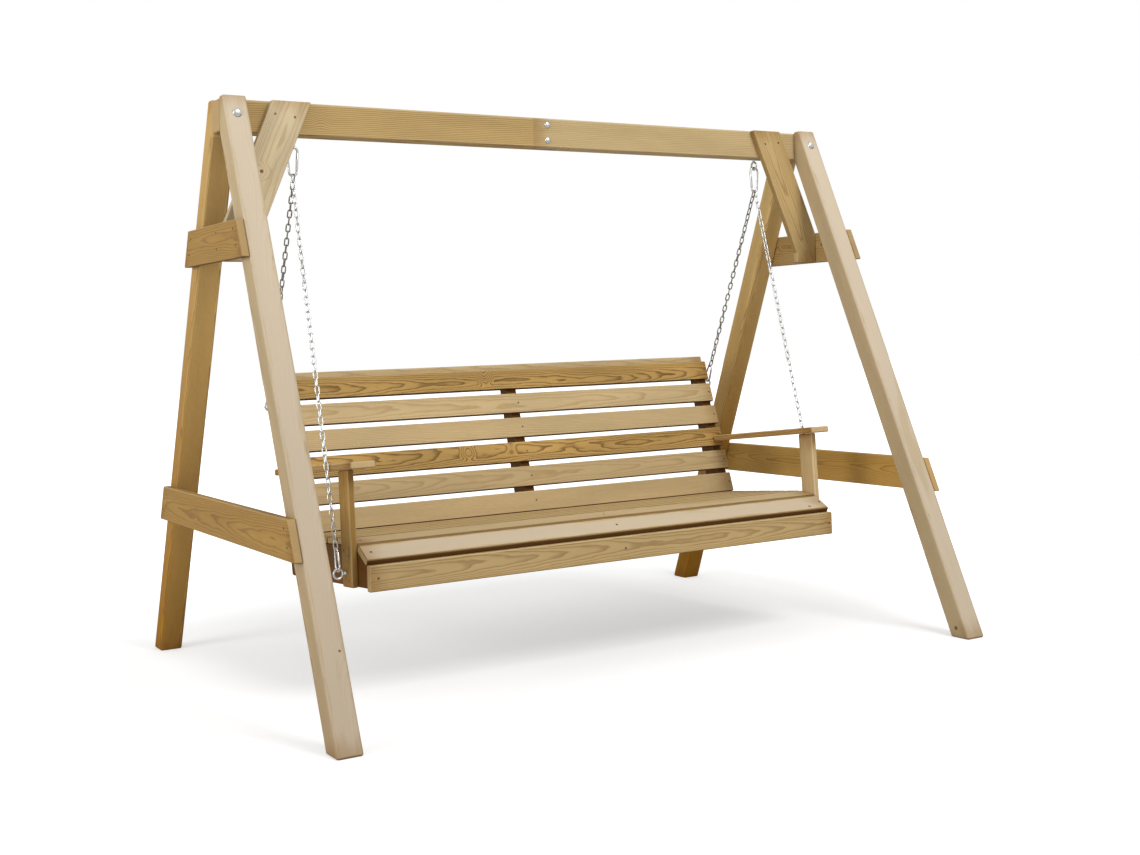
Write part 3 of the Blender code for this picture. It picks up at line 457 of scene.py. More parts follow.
@dataclass(frozen=True)
class SteelFinish(Finish):
    """Zinc-plated steel: bright, slightly mottled, and duller where it was handled."""

    colour: str
    roughness: float
    mottle: float = 9 * MM
    kind: ClassVar[str] = "steel"

    def build(self) -> bpy.types.Material:
        """Build the material on object coordinates.

        Returns:
            The new material.
        """
        made, shader = new_material(self.name)
        tree = made.node_tree
        place = put(tree, "TexCoord", {}, "Object")
        noise = {"Vector": place, "Scale": 1 / self.mottle, "Detail": 3.0, "Roughness": 0.55}
        noise = put(tree, "TexNoise", noise)
        rough = {"Value": noise, "To Min": self.roughness * 0.8, "To Max": self.roughness * 1.25}
        tree.links.new(put(tree, "MapRange", rough), shader.inputs["Roughness"])
        shade = {"Value": noise, "From Min": 0.3, "From Max": 0.7, "To Min": 0.88, "To Max": 1.05}
        shade = put(tree, "MapRange", shade)
        colour = put(tree, "Mix", {0: 1.0, 6: linear(self.colour), 7: shade}, 2, **TINT)
        tree.links.new(colour, shader.inputs["Base Color"])
        shader.inputs["Metallic"].default_value = 1.0
        return made


# The four colours are those of sapwood, late wood, heartwood, and the pale straw of painted light and of
# paled arrises.

# Creamy sapwood with fine rings, painted paler to grey straw on faces turned to the light
PINE_PALE = PineFinish(
    "treated_pine_pale", Slot.PALE, "#C9AE7C", "#A4834A", "#B8945A", "#D2C3AD", contrast=0.6
)
# The same, with a knot near the right end of the nose slat
PINE_NOSE = replace(PINE_PALE, name="treated_pine_nose", marks=((0.7602, -0.3677, 0.4029, 8 * MM),))
# Creamier, with a knot low on the right leg and a smaller one on the left
PINE_LEG = replace(
    PINE_PALE,
    name="treated_pine_leg",
    sapwood="#D2BE98",
    marks=((1.027, -0.7483, 0.0305, 6 * MM), (-1.0431, -0.7, 0.2381, 3 * MM)),
)
# Olive from the salts, with plain brown figure
PINE_OLIVE = PineFinish(
    "treated_pine_olive",
    Slot.OLIVE,
    "#C2A46C",
    "#86612A",
    "#A98651",
    "#D4C09A",
    ring=3.2 * MM,
    contrast=0.65,
    heart=0.2,
)
# A little duller, as painted shade under the nose slat, with stronger figure and a knot near the middle
PINE_FASCIA = replace(
    PINE_OLIVE,
    name="treated_pine_fascia",
    sapwood="#BD9F69",
    contrast=0.8,
    marks=((0.0387, -0.33, 0.3368, 5 * MM),),
)
# Golden brown, brighter than the olive as painted light on the rear legs, and warm in their painted shade
PINE_REAR_LEG = replace(
    PINE_OLIVE,
    name="treated_pine_rear_leg",
    sapwood="#EED090",
    latewood="#A27A3E",
    heartwood="#D0AC6C",
    contrast=0.72,
    shade_and_stain="#AA8829",
)
# Wide straight lines of quarter-sawn wood
PINE_BEAM = PineFinish(
    "treated_pine_straight",
    Slot.OLIVE,
    "#C4A770",
    "#7E5A22",
    "#A98651",
    "#DCCAA8",
    ring=5.2 * MM,
    contrast=0.75,
    wander=9 * MM,
)
# Paler, with fainter lines, as from another tree
PINE_BEAM_RIGHT = replace(
    PINE_BEAM, name="treated_pine_straight_pale", sapwood="#C4AC7E", contrast=0.4
)
# Light straw with faint broad figure
PINE_LIGHT = PineFinish(
    "treated_pine_light",
    Slot.OLIVE,
    "#CDB487",
    "#A07F48",
    "#B99A64",
    "#DECDB0",
    ring=3.6 * MM,
    contrast=0.5,
)
# Bright yellow straw as painted light on the tops, with a soft brown tint for painted shade on the sides
PINE_ARMREST = replace(
    PINE_LIGHT, name="treated_pine_armrest", sapwood="#EAD3A6", shade_and_stain="#AB8E56"
)
# Pale, with wide wandering rings round a knot
PINE_FIGURED = PineFinish(
    "treated_pine_figured",
    Slot.PALE,
    "#D4C09A",
    "#A88A54",
    "#B99A64",
    "#DACBB2",
    ring=6.0 * MM,
    contrast=0.5,
    heart=0.3,
    wander=24 * MM,
    patches=0.25,
    marks=((-0.9836, -0.0573, 1.4986, 5 * MM),),
)
# Brown where the salts soaked in deep, and darker still as painted shade for the pieces on the shaded left
PINE_STAINED_SHADED = PineFinish(
    "treated_pine_stained_shaded",
    Slot.OLIVE,
    "#A68246",
    "#6A4818",
    "#8C6A2C",
    "#CBB488",
    ring=3.4 * MM,
    heart=0.3,
)
# Golden, where the sun reaches a board of the same kind
PINE_GOLDEN = replace(
    PINE_STAINED_SHADED,
    name="treated_pine_golden",
    sapwood="#CA9F54",
    latewood="#8A6024",
    heartwood="#AC8440",
)
# Heartwood: strong dark flames on golden brown
PINE_BROWN = PineFinish(
    "treated_pine_heart",
    Slot.BROWN,
    "#C19C5C",
    "#66451A",
    "#A27C3C",
    "#D4BE92",
    ring=3.0 * MM,
    contrast=0.85,
    heart=0.6,
    wander=20 * MM,
    patches=0.2,
)
# The same, with fine bars across it from the planer
PINE_RIPPLED = replace(PINE_BROWN, name="treated_pine_heart_planed", planed=0.07)
# Deep brown: painted shade for the uprights, between and behind the back boards
PINE_SHADED = PineFinish(
    "treated_pine_shaded", Slot.BROWN, "#704810", "#4E300C", "#644018", "#8A6838", contrast=0.5
)
# Darker still: painted shade for the rails under the slats
PINE_RAIL = PineFinish(
    "treated_pine_rail", Slot.OLIVE, "#6E4610", "#4A2C0A", "#60401A", "#8A6838", contrast=0.5
)
# Bright zinc, the same darker as painted shade for the rear chains, and the yellowed plating of screws
ZINC = SteelFinish("zinc_plated_steel", Slot.STEEL, "#CECFCE", 0.30)
ZINC_SHADED = SteelFinish("zinc_plated_steel_shaded", Slot.STEEL, "#8C887C", 0.36)
ZINC_DULL = SteelFinish("zinc_plated_screw", Slot.STEEL, "#83735A", 0.5)


# Surfaces worked out as whole arrays


@dataclass
class Skin:
    """Points of one or more closed surfaces, and blocks of faces with as many corners each."""

    points: np.ndarray
    blocks: list[np.ndarray]

    def placed(self, place: Matrix) -> "Skin":
        """Return the skin moved by a matrix."""
        turn = np.array(place)
        return Skin(self.points @ turn[:3, :3].T + turn[:3, 3], self.blocks)

    @staticmethod
    def joined(skins: Sequence["Skin"]) -> "Skin":
        """Put several skins together, each with its own points.

        Args:
            skins: The skins.

        Returns:
            One skin.
        """
        starts = np.cumsum([0] + [len(skin.points) for skin in skins])
        blocks = [block + start for skin, start in zip(skins, starts) for block in skin.blocks]
        return Skin(np.concatenate([skin.points for skin in skins]), blocks)

    def mesh(self, name: str, crease: float = 180.0) -> Mesh:
        """Make a smooth mesh of the skin.

        Args:
            name: The mesh's name.
            crease: Angle in degrees from which an edge is sharp.

        Returns:
            The mesh.
        """
        made = bpy.data.meshes.new(name)
        faces = [face for block in self.blocks for face in block.tolist()]
        made.from_pydata(self.points.tolist(), [], faces)
        made.shade_smooth()
        made.set_sharp_from_angle(angle=math.radians(crease))
        return made


def wrap(rings: int, sides: int, closed: bool = False) -> np.ndarray:
    """Quads of a grid of rings, wrapped round each ring.

    Args:
        rings: Number of rings.
        sides: Points in each ring.
        closed: Whether the last ring joins the first.

    Returns:
        The faces, four corners in each row.
    """
    row = np.arange(rings if closed else rings - 1)[:, None]
    side = np.arange(sides)[None, :]
    below, above, after = row * sides, (row + 1) % rings * sides, (side + 1) % sides
    return np.stack([below + side, below + after, above + after, above + side], -1).reshape(-1, 4)


def lid(ring: int, sides: int, outward: bool) -> np.ndarray:
    """Face that closes a ring, turned outwards at the grid's end or at its start."""
    corners = np.arange(ring * sides, (ring + 1) * sides)[None]
    return corners if outward else corners[:, ::-1]


def capped(rings: int, sides: int) -> list[np.ndarray]:
    """Blocks of faces of a grid of rings with a lid at each end."""
    return [wrap(rings, sides), lid(0, sides, False), lid(rings - 1, sides, True)]


def let_in(
    outline: Sequence[tuple[float, float]],
    edge: float,
    steps: int,
    sharp: dict[int, tuple[float, float]],
) -> tuple[np.ndarray, np.ndarray]:
    """Turn a sharp outline into points and the way that each one slides as the outline shrinks.

    A convex corner becomes an arc about the corner of the outline let in by the edge's
    radius, and slides to its centre. A hollow corner slides along its mitre.

    Args:
        outline: Corners, anticlockwise.
        edge: Radius of the arcs.
        steps: Steps in each arc.
        sharp: Numbers of the corners that stay sharp, with the way that each one slides.

    Returns:
        Base points and slides, as arrays of pairs.
    """
    corner = np.array(outline, float)
    before = corner - np.roll(corner, 1, 0)
    before /= np.linalg.norm(before, axis=1)[:, None]
    after = np.roll(before, -1, 0)
    start = np.stack([before[:, 1], -before[:, 0]], 1)
    stop = np.stack([after[:, 1], -after[:, 0]], 1)
    mitre = (start + stop) / (1 + (start * stop).sum(1))[:, None]
    convex = before[:, 0] * after[:, 1] - before[:, 1] * after[:, 0] > 0
    base, slide = [], []
    for number, is_convex in enumerate(convex):
        if number in sharp or not is_convex:
            base.append(corner[number][None])
            slide.append(np.array([sharp.get(number, -mitre[number])], float))
            continue
        first = math.atan2(*start[number][::-1])
        turn = (math.atan2(*stop[number][::-1]) - first) % math.tau
        angle = first + turn * np.linspace(0, 1, steps + 1)
        outward = np.stack([np.cos(angle), np.sin(angle)], 1)
        base.append(corner[number] - edge * mitre[number] + edge * outward)
        slide.append(-outward)
    return np.concatenate(base), np.concatenate(slide)


def plate(
    outline: Sequence[tuple[float, float]],
    depth: float,
    edge: float,
    steps: int = 3,
    stations: int = 2,
    sharp: dict[int, tuple[float, float]] | None = None,
) -> Skin:
    """Board with a flat outline and all its edges rounded.

    Ring by ring, the outline is let in by edge (1 - cos t) at edge (1 - sin t) from each
    face, t going from nought to a quarter turn.

    Args:
        outline: Corners, anticlockwise, in the local XY plane.
        depth: Thickness along local Z, about its middle.
        edge: Radius of the edges.
        steps: Steps of each rounding.
        stations: Rings along the straight part.
        sharp: Corners cut sharp, with the way that each one slides.

    Returns:
        The board's skin.
    """
    base, slide = let_in(outline, edge, steps, sharp or {})
    turn = np.linspace(0, math.pi / 2, steps + 1)[1:]
    inset = edge * (1 - np.cos(turn))
    rise = depth / 2 - edge * (1 - np.sin(turn))
    straight = np.linspace(edge - depth / 2, depth / 2 - edge, stations)
    height = np.concatenate([-rise[::-1], straight, rise])
    inset = np.concatenate([inset[::-1], np.zeros(stations), inset])
    flat = base[None] + inset[:, None, None] * slide[None]
    level = np.broadcast_to(height[:, None, None], (*flat.shape[:2], 1))
    points = np.concatenate([flat, level], 2).reshape(-1, 3)
    return Skin(points, capped(*flat.shape[:2]))


def rod(path: np.ndarray, radius: float | np.ndarray, sides: int, closed: bool) -> Skin:
    """Round wire along a path in the local XZ plane.

    Each ring is a circle in the plane that halves the bend, pushed out at bends so that
    the wire keeps its radius, and flat ends close an open path.

    Args:
        path: Points as pairs (x, z).
        radius: Of the wire, one for all or one for each point.
        sides: Points in each ring.
        closed: Whether the path is a loop.

    Returns:
        The wire's skin.
    """
    way = np.roll(path, -1, 0) - path
    way /= np.linalg.norm(way, axis=1)[:, None]
    before, after = np.roll(way, 1, 0), way.copy()
    if not closed:
        before[0], after[-1] = after[0], before[-1]
    mid = before + after
    mid /= np.linalg.norm(mid, axis=1)[:, None]
    stretch = 1 / (mid * before).sum(1)
    across = np.stack([mid[:, 1], -mid[:, 0]], 1) * stretch[:, None]
    thick = np.broadcast_to(radius, len(path))[:, None, None]
    angle = np.linspace(0, math.tau, sides, endpoint=False)[None, :, None]
    plane = path[:, None] + thick * np.cos(angle) * across[:, None]
    depth = thick * np.sin(angle) + np.zeros((len(path), sides, 1))
    points = np.concatenate([plane[..., :1], depth, plane[..., 1:]], 2).reshape(-1, 3)
    return Skin(points, [wrap(len(path), sides, True)] if closed else capped(len(path), sides))


def turned(
    profile: Sequence[tuple[float, float]],
    sides: int,
    wave: np.ndarray | float = 1.0,
    hollow: bool = False,
) -> Skin:
    """Surface turned about local Z, with flat lids or, from a closed section, with a hole.

    The radius at (ring i, angle a) is the profile's radius times the wave's row i at a.

    Args:
        profile: Pairs of height and radius, from the bottom up or round the section.
        sides: Points in each ring.
        wave: Factors, rings by sides, or 1 for round rings.
        hollow: Whether the profile is a closed section.

    Returns:
        The turned skin.
    """
    height, radius = np.array(profile, float).T
    rings = len(height)
    angle = np.linspace(0, math.tau, sides, endpoint=False)
    reach = radius[:, None] * wave * np.ones((rings, sides))
    level = np.tile(height[:, None], sides)
    points = np.stack([reach * np.cos(angle), reach * np.sin(angle), level], 2).reshape(-1, 3)
    return Skin(points, [wrap(rings, sides, True)] if hollow else capped(rings, sides))


def arc(centre: tuple[float, float], radius: float, start: float, stop: float, steps: int) -> np.ndarray:
    """Points on a round arc, both ends included."""
    angle = np.linspace(start, stop, steps + 1)
    return np.stack([centre[0] + radius * np.cos(angle), centre[1] + radius * np.sin(angle)], 1)


def standing(at: Vector, up: Vector, across: Vector = RIGHTWARD) -> Matrix:
    """Matrix that stands something at a point.

    Args:
        at: Origin of the local axes.
        up: Direction of local Z.
        across: Direction that local X is as near to as it can be.

    Returns:
        The matrix.
    """
    z_axis = up.normalized()
    x_axis = (across - z_axis * across.dot(z_axis)).normalized()
    turn = Matrix((x_axis, z_axis.cross(x_axis), z_axis)).transposed().to_4x4()
    return Matrix.Translation(at) @ turn


def upended(middle: float) -> Matrix:
    """Matrix that stands an outline up in the plane of Y and Z, at a given X."""
    return Matrix(((0, 0, 1, middle), (1, 0, 0, 0), (0, 1, 0, 0), (0, 0, 0, 1)))


# Pieces


def linked(name: str, data: bpy.types.ID) -> bpy.types.Object:
    """Make an object and link it to the scene.

    Args:
        name: The object's name.
        data: Its mesh, lamp or camera.

    Returns:
        The object.
    """
    made = bpy.data.objects.new(name, data)
    bpy.context.collection.objects.link(made)
    return made


def add_piece(name: str, mesh: Mesh, finish: Finish, body: str, nodes: Sequence[str]) -> bpy.types.Object:
    """Make a piece of a finished mesh, in its place, on its body.

    Args:
        name: The piece's name, without its kind.
        mesh: Its mesh, in the world's coordinates.
        finish: What it is made of.
        body: The body that it rides on.
        nodes: The solids that it stands for.

    Returns:
        The piece.
    """
    piece = linked(f"{name}_{finish.kind}", mesh)
    mesh.materials.clear()
    mesh.materials.append(finish.material())
    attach(piece, body)
    if nodes:
        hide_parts(*nodes)
    LOG.info("%s: %d faces on %s", name, len(mesh.polygons), body)
    return piece


def applied(mesh: Mesh, kind: str, **settings: object) -> Mesh:
    """Run a modifier over a mesh and keep the result.

    Args:
        mesh: The mesh, which is used up.
        kind: The modifier's type.
        settings: Its settings.

    Returns:
        The new mesh.
    """
    holder = linked("holder", mesh)
    modifier = holder.modifiers.new(kind.lower(), kind)
    for key, value in settings.items():
        setattr(modifier, key, value)
    bpy.context.view_layer.update()
    graph = bpy.context.evaluated_depsgraph_get()
    made = bpy.data.meshes.new_from_object(holder.evaluated_get(graph))
    bpy.data.objects.remove(holder)
    bpy.data.meshes.remove(mesh)
    return made


@dataclass(frozen=True)
class Bore:
    """Round hole, blind or through, cut from a point inward."""

    at: Vector
    outward: Vector
    radius: float
    depth: float
    sides: ClassVar[int] = 20
    # Where the circle starts: no hole points along it
    askew: ClassVar[Vector] = Vector((0.6, 0.8, 0.1))

    def skin(self) -> Skin:
        """Cutter for the hole, which stands proud of the wood by its radius."""
        cutter = turned([(-self.depth, self.radius), (self.radius, self.radius)], self.sides)
        return cutter.placed(standing(self.at, self.outward, self.askew))


@dataclass(frozen=True)
class Screw:
    """Countersunk wood screw, its head a little below the wood's face."""

    at: Vector
    outward: Vector
    head: ClassVar[float] = 3.6 * MM
    sunk: ClassVar[float] = 1.2 * MM
    hole: ClassVar[float] = 3.9 * MM
    depth: ClassVar[float] = 3.0 * MM
    askew: ClassVar[Vector] = Vector((0.8, 0.6, 0.1))

    def bore(self) -> Bore:
        """Hole that the head sits in."""
        return Bore(self.at, self.outward, self.hole, self.depth)

    def skin(self) -> Skin:
        """Head with a six-pointed recess: rings whose radius waves with the angle.

        Returns:
            The head, in its place.
        """
        sides, points, notch = 12, 6, 0.22
        star = 1 + notch * np.cos(points * np.linspace(0, math.tau, sides, endpoint=False))
        plain = np.ones(sides)
        # Depth below the top and radius, as shares of the head's radius
        shares = np.array([(0.7, 0.45), (0.12, 1.0), (0.0, 0.94), (0.03, 0.46), (0.55, 0.36)])
        profile = shares * (-self.head, self.head) - (self.sunk, 0)
        head = turned(profile, sides, np.stack([plain, plain, plain, star, star]))
        return head.placed(standing(self.at, self.outward, self.askew))


@dataclass(frozen=True)
class Look:
    """Wood of a board, how it was sawn, and the state of its faces, each from 0 to about 1.

    After the tone come, in order: how far painted light pales the faces turned to the light;
    how far the undersides darken, as painted shade; how far the arrises pale, by wear and by a
    painted highlight; how far the arrises, and the faces that look left or right, darken,
    both as painted shade; and how far all faces darken towards the ground.
    """

    finish: PineFinish
    cut: Cut = Cut.FLAT
    tone: float = 1.0
    light_and_wear: float = 0.0
    under: float = 0.5
    arris_light_and_wear: float = 0.4
    arris_shade: float = 0.0
    outer: float = 0.0
    darkening: float = 0.0


def read(items: bpy.types.bpy_prop_collection, key: str, kind: type, width: int = 1) -> np.ndarray:
    """Read one property of all of a mesh's vertices, faces or corners.

    Args:
        items: The vertices, faces or corners.
        key: The property.
        kind: Type of its numbers.
        width: How many numbers each item has.

    Returns:
        The numbers, a row for each item where it has several.
    """
    values = np.empty(len(items) * width, kind)
    items.foreach_get(key, values)
    return values.reshape(-1, width).squeeze()


@dataclass(frozen=True)
class Timber:
    """A sawn piece of wood: its look, and its grain along one direction below one face."""

    name: str
    look: Look
    body: Body
    along: Vector
    face: Vector
    screws: Sequence[Screw] = ()
    bores: Sequence[Bore] = ()
    crease: ClassVar[float] = 50.0

    def cut(self, skin: Skin) -> None:
        """Add the piece from its skin in the world's coordinates."""
        self.add(outward_mesh(skin, self.name))

    def add(self, mesh: Mesh) -> None:
        """Cut the holes, draw the grain's coordinates and add the piece.

        Args:
            mesh: The piece's mesh in the world's coordinates.
        """
        rounds = [[screw.bore() for screw in self.screws], *([hole] for hole in self.bores)]
        for holes in filter(None, rounds):
            shape = Skin.joined([hole.skin() for hole in holes]).mesh("cutter")
            cutter = linked("cutter", shape)
            mesh = applied(mesh, "BOOLEAN", operation="DIFFERENCE", solver="EXACT", object=cutter)
            bpy.data.objects.remove(cutter)
            bpy.data.meshes.remove(shape)
        mesh.shade_smooth()
        mesh.set_sharp_from_angle(angle=math.radians(self.crease))
        self.draw_grain(mesh)
        piece = add_piece(self.name, mesh, self.look.finish, self.body.value, [self.name])
        piece.modifiers.new("weighted_normals", "WEIGHTED_NORMAL").keep_sharp = True

    def draw_grain(self, mesh: Mesh) -> None:
        """Store the board's own coordinates from the pith, its size, and each face's state.

        Grain is (along, across, through) in metres, moved to a stretch of log of its own.
        Place is the share of the half length and of the half width, and the half length.
        State is the painted light, end grain and tone. The first pales faces turned to the light, and is
        below nought on an arris paled by wear and a painted highlight; the tone carries the board's own
        tone, painted shade, and the darkening towards the ground.

        Args:
            mesh: The piece's mesh.
        """
        look, log, stray = self.look, (2, 60), 0.012
        # Cosines from which a face is an end or sunny, and over which it becomes so
        end_from, end_over, sun_from, sun_over = 0.7, 0.2, 0.62, 0.3
        # Cosines below which a face is an arris, at which it looks too far down to be a paled one,
        # and over which it becomes an underside, darkened as painted shade
        square, downward, under_over = 0.995, -0.3, 0.6
        chance = np.random.default_rng(zlib.crc32(self.name.encode()))
        points = read(mesh.vertices, "co", float, 3)
        along = self.along.normalized()
        through = (self.face - along * self.face.dot(along)).normalized()
        axes = np.array([along, through.cross(along), through])
        side, depth = look.cut.value
        side = side * chance.choice((-1, 1)) + chance.uniform(-stray, stray)
        pith = np.array([-chance.uniform(*log), side, -depth])
        grain = (points - (points.min(0) + points.max(0)) / 2) @ axes.T - pith
        local = points @ axes.T
        half = (local.max(0) - local.min(0)) / 2
        place = (local - local.min(0)) / half - 1
        place[:, 2] = half[0]
        normals = read(mesh.polygons, "normal", float, 3)
        end = np.clip((np.abs(normals @ axes[0]) - end_from) / end_over, 0, 1)
        # Faces turned towards SUNWARD are paled: painted light
        sunny = np.clip((normals @ SUNWARD - sun_from) / sun_over, 0, 1) * (1 - end)
        slanted = np.abs(normals @ axes.T).max(1) < square
        arris = slanted & (normals[:, 2] > downward) & (end < 0.5)
        # Arrises pale by wear and a painted highlight; other faces by painted light
        light_and_wear = np.where(arris, -look.arris_light_and_wear, look.light_and_wear * sunny)
        # Undersides darken: painted shade
        under = np.clip(-normals[:, 2] / under_over, 0, 1)
        tone = look.tone * chance.uniform(0.97, 1.0) * (1 - look.under * under)
        # Arrises and the faces that look left or right darken: painted shade
        tone = tone * (1 - look.outer * np.abs(normals[:, 0])) * (1 - look.arris_shade * arris)
        sides = read(mesh.polygons, "loop_total", np.int32)
        state = np.repeat(np.stack([light_and_wear, end, tone], 1), sides, axis=0)
        height = points[read(mesh.loops, "vertex_index", np.int32), 2]
        # Darker towards the ground
        state[:, 2] -= look.darkening * (1 - height / points[:, 2].max()) ** 2
        for name, domain, values in (
            ("grain", "POINT", grain),
            ("place", "POINT", place),
            ("state", "CORNER", state),
        ):
            attribute = mesh.attributes.new(name, "FLOAT_VECTOR", domain)
            attribute.data.foreach_set("vector", values.ravel())


def outward_mesh(skin: Skin, name: str) -> Mesh:
    """Make a mesh of a skin whose faces all point outwards, also where it was mirrored.

    Args:
        skin: The skin.
        name: The mesh's name.

    Returns:
        The mesh.
    """
    mesh = skin.mesh(name)
    shape = bmesh.new()
    shape.from_mesh(mesh)
    bmesh.ops.recalc_face_normals(shape, faces=shape.faces)
    shape.to_mesh(mesh)
    shape.free()
    return mesh


def merged_copy(node: str) -> Mesh:
    """Copy a solid's mesh, join its loose triangles, and round its sawn edges further.

    Args:
        node: Name of the solid.

    Returns:
        The new mesh.
    """
    doubles, flat, round_by, corner = 0.02 * MM, math.radians(1), 1.2 * MM, math.radians(30)
    mesh = frame["nodes"][node].data.copy()
    mesh.name = node + "_copy"
    shape = bmesh.new()
    shape.from_mesh(mesh)
    bmesh.ops.remove_doubles(shape, verts=shape.verts, dist=doubles)
    bmesh.ops.dissolve_limit(shape, angle_limit=flat, verts=shape.verts, edges=shape.edges)
    shape.to_mesh(mesh)
    shape.free()
    mesh.materials.clear()
    return applied(
        mesh, "BEVEL", width=round_by, segments=2, limit_method="ANGLE", angle_limit=corner
    )


@dataclass(frozen=True)
class Bolt:
    """Dome-headed bolt along -Y to +Y, with a washer and a nut on its rear end."""

    radius: float
    head: float
    height: float
    grip: float
    pitch: float = 1.25 * MM
    washer: float = 2.0 * MM

    def add(self, node: str, at: Vector) -> None:
        """Add the bolt with its head's seat at a point.

        Args:
            node: The solid that it stands for.
            at: Middle of the head's seat.
        """
        place = standing(at, -FORWARD)
        skins = [self.head_and_shank(), self.washer_skin(), self.nut()]
        mesh = Skin.joined([skin.placed(place) for skin in skins]).mesh(node, crease=40)
        add_piece(node, mesh, ZINC, Body.FRAME.value, [node])

    def head_and_shank(self) -> Skin:
        """Dome, shank and a threaded end: the dome's radius falls as an ellipse's.

        Returns:
            The bolt along local Z, with its head's seat at the origin.
        """
        steps, root, tip, bare_end, sides = 8, 0.86, 0.8, 0.5 * MM, 40
        angle = np.linspace(math.radians(8), math.pi / 2, steps)
        dome = np.stack([-FIT - self.height * np.cos(angle), self.head * np.sin(angle)], 1)
        start = self.grip + self.washer
        half_turns = 2 * int((self.radius * 2.6 - bare_end) / self.pitch)
        height = start + np.arange(half_turns) * self.pitch / 2
        radius = np.where(np.arange(half_turns) % 2, 1.0, root) * self.radius
        shank = [(-FIT, self.radius), (start - self.washer / 2, self.radius)]
        last = (height[-1] + self.pitch / 2, self.radius * tip)
        return turned([*dome, *shank, *np.stack([height, radius], 1), last], sides)

    def washer_skin(self) -> Skin:
        """Flat ring under the nut, as a closed section turned about the bolt.

        Returns:
            The washer along local Z.
        """
        outer, inner, edge, sides = self.radius * 2.3, self.radius * 1.06, 0.2 * MM, 40
        low = self.grip + FIT
        high = low + self.washer
        rim = [(low, outer - edge), (low + edge, outer), (high - edge, outer), (high, outer - edge)]
        return turned([(low, inner), *rim, (high, inner)], sides, hollow=True)

    def nut(self) -> Skin:
        """Hexagonal nut: its radius at an angle a from a side's middle is a share 1 / cos a.

        Returns:
            The nut along local Z, its corners chamfered at both ends.
        """
        sides, chamfer, bevel = 48, 0.93, 0.5 * MM
        corner, inner = self.radius * 1.9, self.radius * 1.02
        sixth = math.pi / 3
        angle = np.linspace(0, math.tau, sides, endpoint=False)
        flat = math.cos(sixth / 2) / np.cos(angle % sixth - sixth / 2)
        ring, plain = np.minimum(flat, chamfer), np.ones(sides)
        low = self.grip + FIT + self.washer
        high = low + self.radius * 1.6
        rim = [(low, corner), (low + bevel, corner), (high - bevel, corner), (high, corner)]
        wave = np.stack([plain, ring, flat, flat, ring, plain])
        return turned([(low, inner), *rim, (high, inner)], sides, wave, hollow=True)


